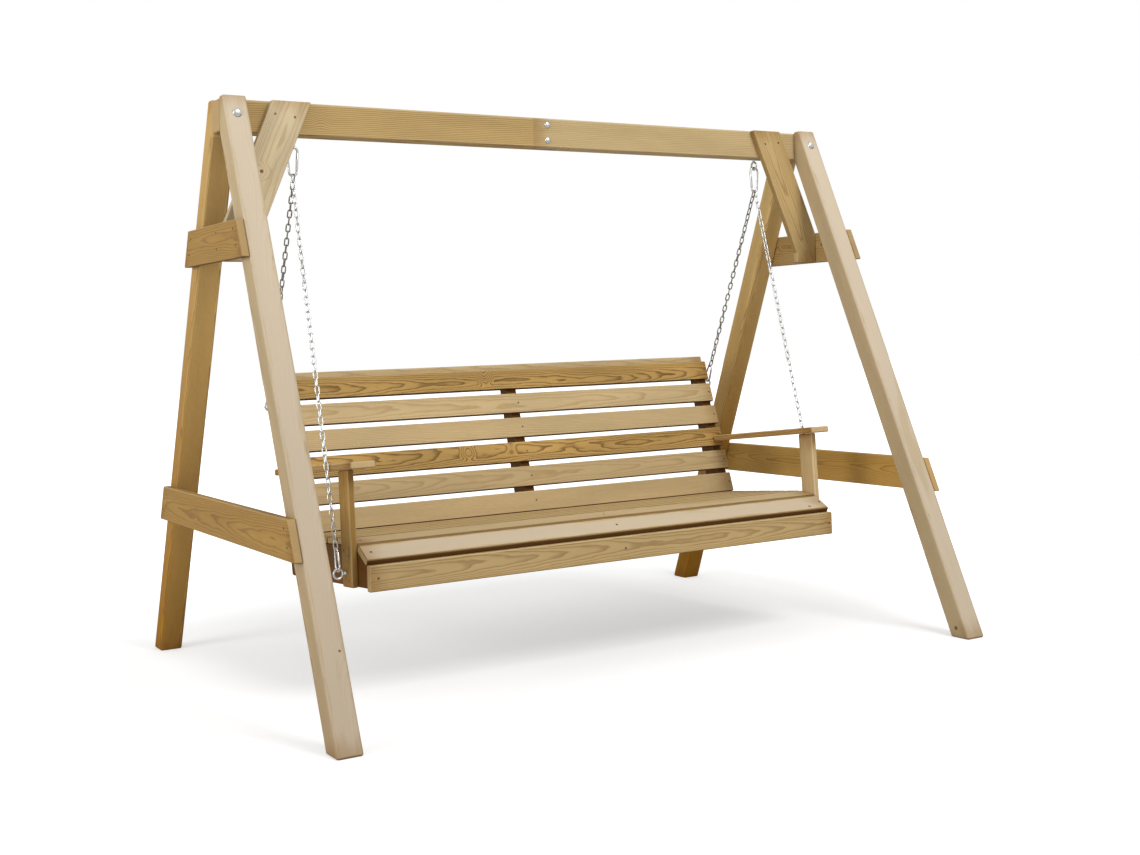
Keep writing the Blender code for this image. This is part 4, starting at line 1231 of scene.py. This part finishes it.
@dataclass
class AFrame:
    """Four legs, two half beams, cross boards, braces and bolts."""

    width: float = 2.194
    spread: float = 1.605
    height: float = 1.713
    leg: float = 0.070
    leg_top: float = 0.030
    beam_depth: float = 0.070
    seam: float = -0.0615
    lap: float = 0.106
    timber_edge: float = 6 * MM
    edge_steps: int = 4
    board: float = 0.022
    board_edge: float = 3 * MM
    brace_angle: float = math.radians(22.8)
    brace_width: float = 0.110
    brace_top: float = 0.826
    brace_toe: float = 0.035
    brace_screws: tuple[tuple[float, float], ...] = ((0.878, 1.660), (0.938, 1.667))
    cross_screw_shares: tuple[float, float] = (0.32, 0.76)
    leg_bolt_height: float = 1.658
    leg_bolt_head: float = 0.013
    leg_bolt_hole: float = 5.3 * MM
    lap_bolt_x: float = -0.0085
    lap_bolt_heights: tuple[float, float] = (1.686, 1.6355)
    lap_bolt_head: float = 0.0105
    lap_bolt_hole: float = 4.3 * MM
    heads: list[Screw] = field(default_factory=list)
    # In these looks, paling of faces turned to the light is painted light, and darkening of sides and
    # undersides is painted shade; the legs also grow darker towards the ground
    leg_looks: ClassVar[dict[str, Look]] = {
        "front_left": Look(PINE_LEG, Cut.HEART, light_and_wear=1.0, arris_light_and_wear=0.7, outer=0.18, darkening=0.28),
        "front_right": Look(PINE_LEG, Cut.HEART, light_and_wear=1.0, arris_light_and_wear=0.7, outer=0.18, darkening=0.16),
        "rear_left": Look(PINE_REAR_LEG, Cut.HEART, arris_light_and_wear=0.3, outer=0.5, darkening=0.52),
        "rear_right": Look(PINE_REAR_LEG, Cut.HEART, under=0.2, arris_light_and_wear=0.3, darkening=1.15),
    }
    beam_looks: ClassVar[dict[str, Look]] = {
        "left": Look(PINE_BEAM, Cut.QUARTER, tone=0.98, under=0.12),
        "right": Look(PINE_BEAM_RIGHT, Cut.QUARTER, tone=0.98, under=0.12),
    }
    # The left boards take the stained finish, darkened as painted shade; the lower right takes the golden
    # copy, lit as painted light
    board_looks: ClassVar[dict[str, Look]] = {
        "upper_left": Look(PINE_STAINED_SHADED),
        "upper_right": Look(PINE_OLIVE, tone=0.86),
        "lower_left": Look(PINE_STAINED_SHADED),
        "lower_right": Look(PINE_GOLDEN),
    }
    brace_looks: ClassVar[dict[str, Look]] = {
        "left": Look(PINE_FIGURED, light_and_wear=0.3),
        "right": Look(PINE_OLIVE, light_and_wear=0.3),
    }

    @property
    def slope(self) -> float:
        """Rearward run of a front leg for each metre of height."""
        return (self.spread / 2 - self.beam_depth / 2 - FIT - self.leg_top) / self.height

    @property
    def leg_run(self) -> float:
        """Horizontal width of a leg, cut level."""
        return self.leg / math.cos(math.atan(self.slope))

    def front(self, height: float) -> float:
        """Distance from the middle plane to a leg's outer slope."""
        return self.spread / 2 - self.slope * height

    def build(self) -> None:
        """Build every piece of the frame."""
        self.legs()
        self.beams()
        self.cross_boards()
        self.braces()
        self.bolts()

    def legs(self) -> None:
        """Square legs: cut level at the foot, and upright where they meet the beam."""
        toe = self.spread / 2
        heel = toe - self.leg_run
        seat = self.beam_depth / 2 + FIT
        outline = [
            (-toe, 0),
            (-heel, 0),
            (-seat, (heel - seat) / self.slope),
            (-seat, self.height),
            (-seat - self.leg_top, self.height),
        ]
        skin = plate(outline, self.leg, self.timber_edge, self.edge_steps)
        grip = self.front(self.leg_bolt_height)
        for side, sign in SIDES:
            middle = sign * (self.width - self.leg) / 2
            for end, facing in ENDS:
                outward = Vector((0, facing, 0))
                at = Vector((middle, facing * grip, self.leg_bolt_height))
                recess = Bore(at, outward, self.leg_bolt_head + FIT, 0.0)
                hole = Bore(at, outward, self.leg_bolt_hole, 2 * grip)
                piece = Timber(
                    f"leg_{end}_{side}",
                    self.leg_looks[f"{end}_{side}"],
                    Body.FRAME,
                    Vector((0, -facing * self.slope, 1)),
                    Vector((0, facing, self.slope)),
                    bores=[recess, hole],
                )
                piece.cut(skin.placed(Matrix.Diagonal((1, -facing, 1, 1)) @ upended(middle)))

    def beams(self) -> None:
        """Half beams with a lap cut sharp, the right one in front at the seam."""
        low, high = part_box("beam_left")
        end, half = self.width / 2, self.beam_depth / 2
        seam, shoulder, fit = self.seam, self.seam + self.lap, FIT / 2
        outlines = {
            "left": [
                (-end, -half),
                (seam, -half),
                (seam, fit),
                (shoulder, fit),
                (shoulder, half),
                (-end, half),
            ],
            "right": [
                (seam + FIT, -half),
                (end, -half),
                (end, half),
                (shoulder + FIT, half),
                (shoulder + FIT, -fit),
                (seam + FIT, -fit),
            ],
        }
        rearward, forward, still = (0, 1), (0, -1), (0, 0)
        sharp = {
            "left": {1: rearward, 2: still, 3: still, 4: forward},
            "right": {0: rearward, 3: forward, 4: still, 5: still},
        }
        place = Matrix.Translation((0, 0, (low.z + high.z) / 2))
        through = self.beam_depth * 1.1
        starts = [Vector((self.lap_bolt_x, -half, height)) for height in self.lap_bolt_heights]
        bores = [Bore(start, FORWARD, self.lap_bolt_hole, through) for start in starts]
        for side, outline in outlines.items():
            depth, look = high.z - low.z, self.beam_looks[side]
            skin = plate(outline, depth, self.timber_edge, self.edge_steps, sharp=sharp[side])
            piece = Timber(f"beam_{side}", look, Body.FRAME, RIGHTWARD, FORWARD, bores=bores)
            piece.cut(skin.placed(place))

    def cross_boards(self) -> None:
        """Boards across the outside of each A, with screws into legs and braces."""
        for level in ("upper", "lower"):
            for side, sign in SIDES:
                name = f"cross_board_{level}_{side}"
                low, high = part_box(name)
                outer, inner = self.front(low.z), self.front(high.z)
                outline = [(-outer, low.z), (outer, low.z), (inner, high.z), (-inner, high.z)]
                outward = Vector((sign, 0, 0))
                face = high.x if sign > 0 else low.x
                screws = []
                for share in self.cross_screw_shares:
                    z = low.z + (high.z - low.z) * share
                    leg_middle = self.front(z) - self.leg_run / 2
                    places = [-leg_middle, leg_middle]
                    if level == "upper":
                        places.append(-self.beam_depth / 2 - FIT - self.board / 2)
                    screws += [Screw(Vector((face, y, z)), outward) for y in places]
                look = self.board_looks[f"{level}_{side}"]
                piece = Timber(name, look, Body.FRAME, -FORWARD, outward, screws)
                self.heads += screws
                skin = plate(outline, self.board, self.board_edge)
                piece.cut(skin.placed(upended((low.x + high.x) / 2)))

    def braces(self) -> None:
        """Slanted boards on the beam's front, down to the upper cross boards."""
        low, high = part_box("brace_left")
        slope = math.tan(self.brace_angle)
        outer = self.brace_top + self.brace_width / math.cos(self.brace_angle)
        wall = self.width / 2
        toe = self.brace_top + slope * (high.z - low.z - self.brace_toe)
        outline = [
            (self.brace_top, high.z),
            (toe, low.z + self.brace_toe),
            (toe, low.z),
            (wall, low.z),
            (wall, high.z - (wall - outer) / slope),
            (outer, high.z),
        ]
        middle = -self.beam_depth / 2 - FIT - self.board / 2
        skin = plate(outline, self.board, self.board_edge)
        for side, sign in SIDES:
            place = Matrix(((sign, 0, 0, 0), (0, 0, -1, middle), (0, 1, 0, 0), (0, 0, 0, 1)))
            face = middle - self.board / 2
            screws = [Screw(Vector((sign * x, face, z)), FORWARD) for x, z in self.brace_screws]
            down = Vector((sign * slope, 0, -1))
            look = self.brace_looks[side]
            piece = Timber(f"brace_{side}", look, Body.FRAME, down, FORWARD, screws)
            piece.cut(skin.placed(place))
            self.heads += screws

    def bolts(self) -> None:
        """Dome-headed bolts through the legs and through the lap, each with washer and nut."""
        grip = self.front(self.leg_bolt_height)
        for side, sign in SIDES:
            at = Vector((sign * (self.width - self.leg) / 2, -grip, self.leg_bolt_height))
            bolt = Bolt(radius=5 * MM, head=self.leg_bolt_head, height=6 * MM, grip=2 * grip)
            bolt.add(f"leg_bolt_{side}", at)
        for level, height in zip(("upper", "lower"), self.lap_bolt_heights):
            at = Vector((self.lap_bolt_x, -self.beam_depth / 2, height))
            bolt = Bolt(radius=4 * MM, head=self.lap_bolt_head, height=5 * MM, grip=self.beam_depth)
            bolt.add(f"lap_bolt_{level}", at)


@dataclass(frozen=True)
class Plank:
    """Section, rise and look of a long board: the rise is its width's angle to the ground."""

    width: float
    thickness: float
    rise: float
    look: Look


@dataclass
class Bench:
    """Rails, uprights, slats, boards, posts and armrests."""

    length: float = 1.660
    edge: float = 3.2 * MM
    edge_steps: int = 4
    stations: int = 41
    rail_x: float = 0.811
    screw_shift: float = 6 * MM
    rail_fall: float = 0.06
    lean: float = math.radians(18.0)
    falls: tuple[float, float, float] = (math.radians(28.7), math.radians(7.0), math.radians(-4.6))
    nose_width: float = 0.072
    slat_width: float = 0.068
    slat: float = 0.020
    slats: int = 7
    fascia_height: float = 0.0725
    cap_width: float = 0.045
    cap: float = 0.022
    post_lean: float = 0.047
    post_screws: tuple[tuple[float, float], ...] = ((-0.020, 0.405), (0.014, 0.418), (-0.022, 0.335))
    arm_fall: float = math.radians(5.5)
    arm_screws: tuple[float, float] = (-0.013, 0.019)
    post_middle: float = 0.010
    heads: list[Screw] = field(default_factory=list)
    # In these looks, paling of faces turned to the light is painted light, and darkening of undersides,
    # sides and arrises is painted shade
    fascia_look: ClassVar[Look] = Look(PINE_FASCIA, tone=0.97, light_and_wear=0.4, under=0.75, arris_light_and_wear=0.7)
    slat_look: ClassVar[Look] = Look(
        PINE_PALE, Cut.SLANT, light_and_wear=0.9, under=1.15, arris_light_and_wear=0.0, arris_shade=0.6
    )
    cap_look: ClassVar[Look] = Look(PINE_LIGHT, Cut.QUARTER, tone=0.92, light_and_wear=0.3, under=0.75)
    arm_look: ClassVar[Look] = Look(PINE_ARMREST, Cut.SLANT, light_and_wear=0.6, outer=0.85)
    # The left post takes the stained finish, darkened as painted shade
    post_looks: ClassVar[dict[str, Look]] = {
        "left": Look(PINE_STAINED_SHADED, Cut.HEART, tone=0.97),
        "right": Look(PINE_LIGHT, Cut.HEART, tone=0.97),
    }
    back_looks: ClassVar[tuple[Look, ...]] = (
        Look(PINE_BROWN, Cut.FLAT, tone=0.98, under=0.95),
        Look(PINE_LIGHT, Cut.FLAT, tone=1.0, under=0.95),
        Look(PINE_LIGHT, Cut.SLANT, tone=0.98, under=0.95),
        Look(PINE_RIPPLED, Cut.FLAT, tone=1.0, under=0.95),
        Look(PINE_LIGHT, Cut.FLAT, tone=0.84, under=0.95),
        Look(PINE_LIGHT, Cut.QUARTER, tone=0.94, under=0.95),
    )

    def build(self) -> None:
        """Build every timber piece of the bench."""
        self.frames()
        self.seat()
        self.back()
        self.arms()

    def frames(self) -> None:
        """Rails and uprights with their halvings, as the solids have them."""
        rearward = Vector((0, 1, -self.rail_fall))
        upward = Vector((0, math.sin(self.lean), math.cos(self.lean)))
        # Rails and uprights take finishes darkened as painted shade
        for side in ("left", "middle", "right"):
            for name, finish, along in (
                (f"seat_rail_{side}", PINE_RAIL, rearward),
                (f"back_upright_{side}", PINE_SHADED, upward),
            ):
                Timber(name, Look(finish), Body.BENCH, along, RIGHTWARD).add(merged_copy(name))

    def wavering(self, skin: Skin, name: str) -> Skin:
        """Let a long board bow and waver by a fraction of a millimetre.

        Each of two long waves along the board adds a sideways shift, of random phase.

        Args:
            skin: The board along local Z.
            name: The board's name, which gives its own phases.

        Returns:
            The wavering board.
        """
        chance = np.random.default_rng(zlib.crc32(name.encode()) + 1)
        along = skin.points[:, 2:3] / self.length
        phase = chance.uniform(0, math.tau, (2, 2))
        count = np.array([1.3, 4.1])
        size = np.array([0.10, 0.05]) * MM
        shift = sum(size[n] * np.sin(math.tau * count[n] * along + phase[n]) for n in range(2))
        points = skin.points + np.concatenate([shift, np.zeros_like(along)], 1)
        return Skin(points, skin.blocks)

    def long_board(self, name: str, plank: Plank) -> None:
        """Add a board along X, screwed to the three rails or uprights.

        Args:
            name: The board's name.
            plank: Its section, rise and look.
        """
        low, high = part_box(name)
        middle = (low + high) / 2
        across, through = plank.width / 2, plank.thickness / 2
        outline = [(-across, -through), (across, -through), (across, through), (-across, through)]
        skin = plate(outline, self.length, self.edge, self.edge_steps, self.stations)
        skin = self.wavering(skin, name)
        cos, sin = math.cos(plank.rise), math.sin(plank.rise)
        place = Matrix(
            ((0, 0, 1, middle.x), (cos, -sin, 0, middle.y), (sin, cos, 0, middle.z), (0, 0, 0, 1))
        )
        out = Vector((0, -sin, cos))
        screws = [
            Screw(middle + out * through + Vector((x + self.screw_shift, 0, 0)), out)
            for x in (-self.rail_x, 0.0, self.rail_x)
        ]
        Timber(name, plank.look, Body.BENCH, RIGHTWARD, out, screws).cut(skin.placed(place))
        self.heads += screws

    def seat(self) -> None:
        """Fascia board, nose slat, second slat and five level ones."""
        fascia = Plank(self.fascia_height, self.slat, math.pi / 2, self.fascia_look)
        self.long_board("fascia_board", fascia)
        for number in range(self.slats):
            width = self.slat_width if number else self.nose_width
            look = self.slat_look if number else replace(self.slat_look, finish=PINE_NOSE)
            rise = self.falls[min(number, 2)]
            self.long_board(f"seat_slat_{number + 1}", Plank(width, self.slat, rise, look))

    def back(self) -> None:
        """Six back boards, of which the first and fourth are heartwood, and the cap."""
        upward = math.pi / 2 - self.lean
        for number, look in enumerate(self.back_looks, 1):
            board = Plank(self.slat_width, self.slat, upward, look)
            self.long_board(f"back_board_{number}", board)
        self.long_board("back_cap", Plank(self.cap_width, self.cap, -self.lean, self.cap_look))

    def arms(self) -> None:
        """Posts outside the rails, and armrests notched round the back."""
        fall = math.tan(self.arm_fall)
        up = Vector((0, math.sin(self.arm_fall), math.cos(self.arm_fall)))
        for side, sign in SIDES:
            outward = Vector((sign, 0, 0))
            post, rest = f"arm_post_{side}", f"armrest_{side}"
            low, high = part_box(post)
            face = low.x if sign < 0 else high.x
            middle = (low.y + high.y) / 2
            screws = [Screw(Vector((face, middle + y, z)), outward) for y, z in self.post_screws]
            along, look = Vector((0, self.post_lean, 1)), self.post_looks[side]
            Timber(post, look, Body.BENCH, along, outward, screws).add(merged_copy(post))
            low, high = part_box(rest)
            x = sign * (self.length / 2 + FIT + self.post_middle)
            places = [middle + step for step in self.arm_screws]
            tops = [Screw(Vector((x, y, high.z - (y - low.y) * fall)), up) for y in places]
            along = Vector((0, 1, -fall))
            Timber(rest, self.arm_look, Body.BENCH, along, up, tops).add(merged_copy(rest))
            self.heads += screws + tops


@dataclass(frozen=True)
class SnapHook:
    """Pear-shaped snap hook: bent wire, and a tubular gate on a rivet."""

    length: float
    wire: float
    wide: float
    narrow: float
    gate: float
    foot: float
    gap: float = 0.5 * MM

    @property
    def reach(self) -> float:
        """Distance between the wire's centres at the two ends."""
        return self.length - 2 * self.wire

    def spine(self) -> np.ndarray:
        """Centre line of the wire: two arcs and the straight lines that touch them.

        Returns:
            Points (x, z), from the nose over the wide end and the narrow end to the rivet.
        """
        top_steps, bottom_steps, back_steps = 18, 14, 8
        wide = self.wide / 2 - self.wire
        narrow = self.narrow / 2 - self.wire
        spread = self.reach - wide - narrow
        tilt = math.asin((wide - narrow) / spread)
        top = arc((0, -wide), wide, math.pi + tilt, -tilt, top_steps)
        bottom = arc((0, -wide - spread), narrow, -tilt, tilt - math.pi, bottom_steps)
        share = np.linspace(0, 1, back_steps)[1:-1, None]
        back = top[-1] * (1 - share) + bottom[0] * share
        return np.concatenate([top, back, bottom])

    def line(self) -> tuple[np.ndarray, np.ndarray]:
        """Line of the gate, in the hook's plane.

        Returns:
            Its rivet and its tip, as pairs (x, z).
        """
        spine = self.spine()
        foot, nose = spine[-1], spine[0]
        up = (nose - foot) / np.linalg.norm(nose - foot)
        return foot + up * self.foot, nose - up * self.gap

    def wire_skin(self) -> Skin:
        """Bent wire with its two ends rounded off by smaller rings.

        Returns:
            The wire, hanging along local -Z.
        """
        sides, end_share = 14, 0.86
        rivet, tip = self.line()
        up = (tip - rivet) / np.linalg.norm(tip - rivet)
        end = rivet - up * (self.gate + self.gap)
        path = np.concatenate([self.spine(), end[None]])
        radius = np.full(len(path), self.wire)
        radius[[0, -1]] *= end_share
        return rod(path, radius, sides, False)

    def gate_skins(self) -> list[Skin]:
        """Tube of the gate with a rounded foot and a chamfered tip, and its rivet across it.

        Returns:
            The tube and the rivet.
        """
        bevel, head, pin, rim = 0.5 * MM, 1.7 * MM, 1.0 * MM, 0.4 * MM
        sides, rivet_sides, steps, hole = 18, 12, 6, math.radians(14)
        rivet, tip = self.line()
        length = float(np.linalg.norm(tip - rivet))
        lean = math.atan2(tip[0] - rivet[0], tip[1] - rivet[1])
        angle = np.linspace(hole, math.pi / 2, steps)
        foot = np.stack([-self.gate * np.cos(angle), self.gate * np.sin(angle)], 1)
        tube = [(length / 2, self.gate), (length - bevel, self.gate), (length, self.gate - bevel)]
        place = Matrix.Translation((rivet[0], 0, rivet[1])) @ Matrix.Rotation(lean, 4, "Y")
        reach = self.gate + self.gap
        ends = [(-reach, pin), (rim - reach, head), (reach - rim, head), (reach, pin)]
        across = place @ Matrix.Rotation(math.pi / 2, 4, "X")
        return [
            turned([*foot, *tube], sides).placed(place),
            turned(ends, rivet_sides).placed(across),
        ]


@dataclass
class Hardware:
    """Eyes, snap hooks and chains."""

    eye_radius: float = 13.5 * MM
    eye_wire: float = 3.5 * MM
    eye_neck: float = 7 * MM
    neck_radius: float = 5.3 * MM
    shank: float = 20 * MM
    link_wire: float = 2.0 * MM
    link_length: float = 30.1 * MM
    link_width: float = 15.5 * MM
    link_seat: float = 0.1 * MM
    weld: float = 1.12
    side_step: float = 2.6 * MM
    front_links: int = 50
    rear_links: int = 31
    top: SnapHook = SnapHook(
        length=0.094, wire=3.5 * MM, wide=0.039, narrow=0.030, gate=4.0 * MM, foot=6 * MM
    )
    low: SnapHook = SnapHook(
        length=0.070, wire=3.0 * MM, wide=0.034, narrow=0.025, gate=3.5 * MM, foot=5 * MM
    )

    def build(self) -> None:
        """Build the hardware on both sides, where the solids have it."""
        pivot = Vector(next(joint["pos_m"] for joint in frame["joints"] if joint["name"] == "swing"))
        size = self.eye_radius + self.eye_wire
        quarter = math.pi / 2
        for side, sign in SIDES:
            low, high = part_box(f"top_eye_{side}")
            across = (low.x + high.x) / 2
            place = Matrix.Translation((across, 0, low.z + size)) @ Matrix.Rotation(quarter, 4, "Z")
            self.eye(f"top_eye_{side}", place, Body.FRAME)
            place = Matrix.Translation((across, 0, pivot.z))
            if sign < 0:
                place = place @ Matrix.Rotation(math.pi, 4, "Z")
            self.hook(f"top_hook_{side}", self.top, place, f"top_hook_{side}", f"hook_gate_top_{side}")
            hang = Vector((across, 0, pivot.z - self.top.reach))
            for end, links, step in (("front", self.front_links, 1), ("rear", self.rear_links, -1)):
                node = f"bench_eye_{end}_{side}"
                low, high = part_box(node)
                outer = low.x if sign < 0 else high.x
                ring = Vector((outer - sign * size, (low.y + high.y) / 2, (low.z + high.z) / 2))
                turn = Matrix.Rotation(-sign * quarter, 4, "Y")
                self.eye(node, Matrix.Translation(ring) @ turn, Body.BENCH)
                start = hang + Vector((sign * step * self.side_step, 0, 0))
                stop = ring + Vector((0, 0, self.eye_radius))
                twist = 0 if end == "front" else sign * quarter
                self.chain(f"{end}_{side}", links, start, stop, twist)

    def eye(self, node: str, place: Matrix, body: Body) -> None:
        """Add a ring of bent wire whose two ends meet in a tapered neck.

        Args:
            node: The solid that it stands for.
            place: Middle of the ring, with the shank along local Z.
            body: The body that it rides on.
        """
        steps, wire_sides, neck_sides = 40, 16, 24
        angle = np.linspace(0, math.tau, steps, endpoint=False)
        path = self.eye_radius * np.stack([np.cos(angle), np.sin(angle)], 1)
        ring = rod(path, self.eye_wire, wire_sides, True).placed(place)
        start = self.eye_radius + self.eye_wire * 0.2
        face = self.eye_radius + self.eye_wire + self.eye_neck
        # Height and radius: out of the ring, wider up to the collar, then the shank in the wood
        neck = [
            (start, self.eye_wire * 0.9),
            (start + 2.5 * MM, self.eye_wire * 1.05),
            (face - self.eye_neck * 0.55, self.neck_radius * 0.93),
            (face - self.eye_neck * 0.45, self.neck_radius),
            (face - 0.8 * MM, self.neck_radius),
            (face - FIT, self.neck_radius * 0.95),
            (face - FIT, self.eye_wire * 0.9),
            (face + self.shank, self.eye_wire * 0.9),
        ]
        mesh = Skin.joined([ring, turned(neck, neck_sides).placed(place)]).mesh(node, crease=55)
        add_piece(node, mesh, ZINC, body.value, [node])

    def hook(self, name: str, shape: SnapHook, place: Matrix, node: str, gate_node: str) -> None:
        """Add a snap hook's wire, and its gate on the gate's own body.

        Args:
            name: The hook's name.
            shape: Its sizes.
            place: Its wide end's wire, with the hook hanging along local -Z.
            node: The solid that the wire stands for.
            gate_node: The solid that the gate stands for.
        """
        wire = shape.wire_skin().placed(place).mesh(name, crease=60)
        add_piece(name, wire, ZINC, Body.BENCH.value, [node])
        gate_skins = [skin.placed(place) for skin in shape.gate_skins()]
        gate = Skin.joined(gate_skins).mesh(gate_node, crease=50)
        add_piece(gate_node, gate, ZINC, gate_node.replace("hook_", ""), [gate_node])

    def link(self) -> Skin:
        """One link: wire round an oval of two half circles, with a weld's bead on one side.

        Returns:
            The link, long along local Z, in the local XZ plane.
        """
        steps, sides = 5, 6
        across = self.link_width / 2 - self.link_wire
        straight = self.link_length / 2 - self.link_wire - across
        upper = arc((0, straight), across, 0, math.pi, steps)
        lower = arc((0, -straight), across, math.pi, math.tau, steps)
        path = np.concatenate([upper, [(-across, 0.0)], lower, [(across, 0.0)]])
        radius = np.full(len(path), self.link_wire)
        radius[len(upper)] *= self.weld
        return rod(path, radius, sides, True)

    def chain(self, name: str, links: int, top: Vector, bottom: Vector, twist: float) -> None:
        """Add a chain and its lower snap hook, between the top hook's wire and an eye's.

        Link n stands n pitches down the line, turned a quarter from the one before.

        Args:
            name: End and side.
            links: Number of links.
            top: Centre of the top hook's wire where the chain hangs on it.
            bottom: Centre of the eye's wire.
            twist: Angle shared out over all the links.
        """
        node = f"chain_{name}"
        up = (top - bottom).normalized()
        reach = self.link_length - 2 * self.link_wire
        pitch = reach - 2 * self.link_wire + self.link_seat
        first = top + up * (self.top.wire + self.link_wire + FIT - reach / 2)
        base = np.array(standing(Vector((0, 0, 0)), up))[:3, :3]
        number = np.arange(links)
        angle = math.pi / 2 * (number + 1) + twist * number / (links - 1)
        cos, sin, zero, one = np.cos(angle), np.sin(angle), np.zeros(links), np.ones(links)
        spin = np.stack([cos, -sin, zero, sin, cos, zero, zero, zero, one], 1).reshape(-1, 3, 3)
        link = self.link()
        centre = np.array(first) - number[:, None] * pitch * np.array(up)
        points = np.einsum("ij,njk,pk->npi", base, spin, link.points) + centre[:, None]
        starts = (number * len(link.points))[:, None, None]
        faces = (link.blocks[0][None] + starts).reshape(-1, 4)
        mesh = Skin(points.reshape(-1, 3), [faces]).mesh(node)
        # The rear chains take the darker zinc: painted shade
        finish = ZINC if name.startswith("front") else ZINC_SHADED
        add_piece(node, mesh, finish, Body.BENCH.value, [node])
        bearing = bottom - up * (self.low.wire + self.eye_wire + FIT)
        place = standing(bearing, -up, -FORWARD)
        self.hook(f"low_hook_{name}", self.low, place, node, f"hook_gate_{name}")


# Room, light and camera


@dataclass(frozen=True)
class Lamp:
    """Square soft lamp that looks at the middle of the swing."""

    name: str
    at: tuple[float, float, float]
    size: float
    power: float
    aim: ClassVar[Vector] = Vector((0, 0, 0.9))

    def add(self) -> None:
        """Add the lamp."""
        data = bpy.data.lights.new(self.name, "AREA")
        data.size = self.size
        data.energy = self.power
        lamp = linked(self.name, data)
        turn = (self.aim - Vector(self.at)).to_track_quat("-Z", "Y").to_matrix().to_4x4()
        lamp.matrix_world = Matrix.Translation(self.at) @ turn


@dataclass(frozen=True)
class Studio:
    """Pale floor, white surroundings, soft lamps and the photograph's camera."""

    place: tuple[float, float, float] = (-2.3766, -4.0263, 0.9968)
    yaw: float = math.radians(-31.3451)
    pitch: float = math.radians(-0.731)
    roll: float = math.radians(-1.7046)
    focal: float = 1429.59
    centre: tuple[float, float] = (569.67, 317.99)
    picture: tuple[float, float] = (1140.0, 855.0)
    sensor: float = 36.0
    light: float = 0.52
    light_in_metal: float = 0.75
    floor_size: float = 60.0
    shadow_ends: tuple[float, float] = (1.0, 3.0)
    shadow_glow: float = 0.42
    lights: tuple[Lamp, ...] = (
        Lamp("key", at=(1.0, -4.6, 5.0), size=2.6, power=195.0),
        Lamp("fill", at=(-9.0, -1.4, 3.0), size=4.0, power=380.0),
    )

    def build(self) -> None:
        """Set up the camera, the surroundings, the floor and the lamps."""
        self.camera()
        self.world()
        self.floor()
        for lamp in self.lights:
            lamp.add()
        bpy.context.scene.view_settings.view_transform = "Standard"

    def camera(self) -> None:
        """Camera that was fitted to the frame's corners in the photograph."""
        data = bpy.data.cameras.new("camera")
        data.sensor_width = self.sensor
        width, height = self.picture
        data.lens = self.focal * self.sensor / width
        data.shift_x = (width / 2 - self.centre[0]) / width
        data.shift_y = (self.centre[1] - height / 2) / width
        camera = linked("camera", data)
        level = math.cos(self.pitch)
        ahead = -math.sin(self.yaw) * level, math.cos(self.yaw) * level
        look = Vector((*ahead, -math.sin(self.pitch)))
        right = Vector((math.cos(self.yaw), math.sin(self.yaw), 0))
        above = right.cross(look)
        turned_right = right * math.cos(self.roll) + above * math.sin(self.roll)
        turned_up = above * math.cos(self.roll) - right * math.sin(self.roll)
        turn = Matrix((turned_right, turned_up, -look)).transposed().to_4x4()
        camera.matrix_world = Matrix.Translation(self.place) @ turn
        bpy.context.scene.camera = camera

    def world(self) -> None:
        """White to the eye, nearly so in metal, and a plain soft light on the object."""
        world = bpy.data.worlds.new("white_room")
        world.use_nodes = True
        bpy.context.scene.world = world
        tree = world.node_tree
        eye = put(tree, "LightPath", {}, "Is Camera Ray")
        metal = eye.node.outputs["Is Glossy Ray"]
        seen = {0: metal, 1: self.light_in_metal, 2: eye}
        seen = put(tree, "Math", seen, operation="MULTIPLY_ADD")
        level = put(tree, "MapRange", {"Value": seen, "To Min": self.light, "To Max": 1.0})
        background = tree.nodes["Background"]
        background.inputs["Color"].default_value = linear("#FFFFFF")
        tree.links.new(level, background.inputs["Strength"])

    def floor(self) -> None:
        """Pale floor that keeps the swing's soft shadow, and is white to the eye further off."""
        half = self.floor_size / 2
        edge = np.array([(-half, -half, 0), (half, -half, 0), (half, half, 0), (-half, half, 0)])
        mesh = Skin(edge, [np.array([[0, 1, 2, 3]])]).mesh("floor")
        piece = linked("floor", mesh)
        made, shader = new_material("painted_white_floor")
        tree = made.node_tree
        eye = put(tree, "LightPath", {}, "Is Camera Ray")
        place = put(tree, "TexCoord", {}, "Object")
        away = put(tree, "VectorMath", {0: place}, "Value", operation="LENGTH")
        near, far = self.shadow_ends
        level = {"Value": away, "From Min": near, "From Max": far, "To Min": self.shadow_glow, "To Max": 1.0}
        level = put(tree, "MapRange", level, **SMOOTH)
        glow = put(tree, "Math", {0: eye, 1: level}, operation="MULTIPLY")
        tree.links.new(glow, shader.inputs["Emission Strength"])
        for socket, value in (
            ("Base Color", linear("#DEDEDE")),
            ("Roughness", 0.9),
            ("Specular IOR Level", 0.0),
            ("Emission Color", linear("#FFFFFF")),
        ):
            shader.inputs[socket].default_value = value
        mesh.materials.append(made)


def add_screw_heads(name: str, screws: Sequence[Screw], body: Body) -> None:
    """Add the heads of all screws on a body as one piece."""
    mesh = Skin.joined([screw.skin() for screw in screws]).mesh(name, crease=40)
    add_piece(name, mesh, ZINC_DULL, body.value, [])


def corners(box: tuple[Vector, Vector]) -> list[list[float]]:
    """Turn a box into plain lists of numbers."""
    return [list(map(float, corner)) for corner in box]


def main() -> None:
    """Build the studio and the swing."""
    logging.basicConfig(level=logging.INFO, format="%(message)s")
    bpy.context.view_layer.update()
    Studio().build()
    a_frame, bench = AFrame(), Bench()
    a_frame.build()
    bench.build()
    add_screw_heads("frame_screws", a_frame.heads, Body.FRAME)
    add_screw_heads("bench_screws", bench.heads, Body.BENCH)
    Hardware().build()


if __name__ == "__main__":
    main()
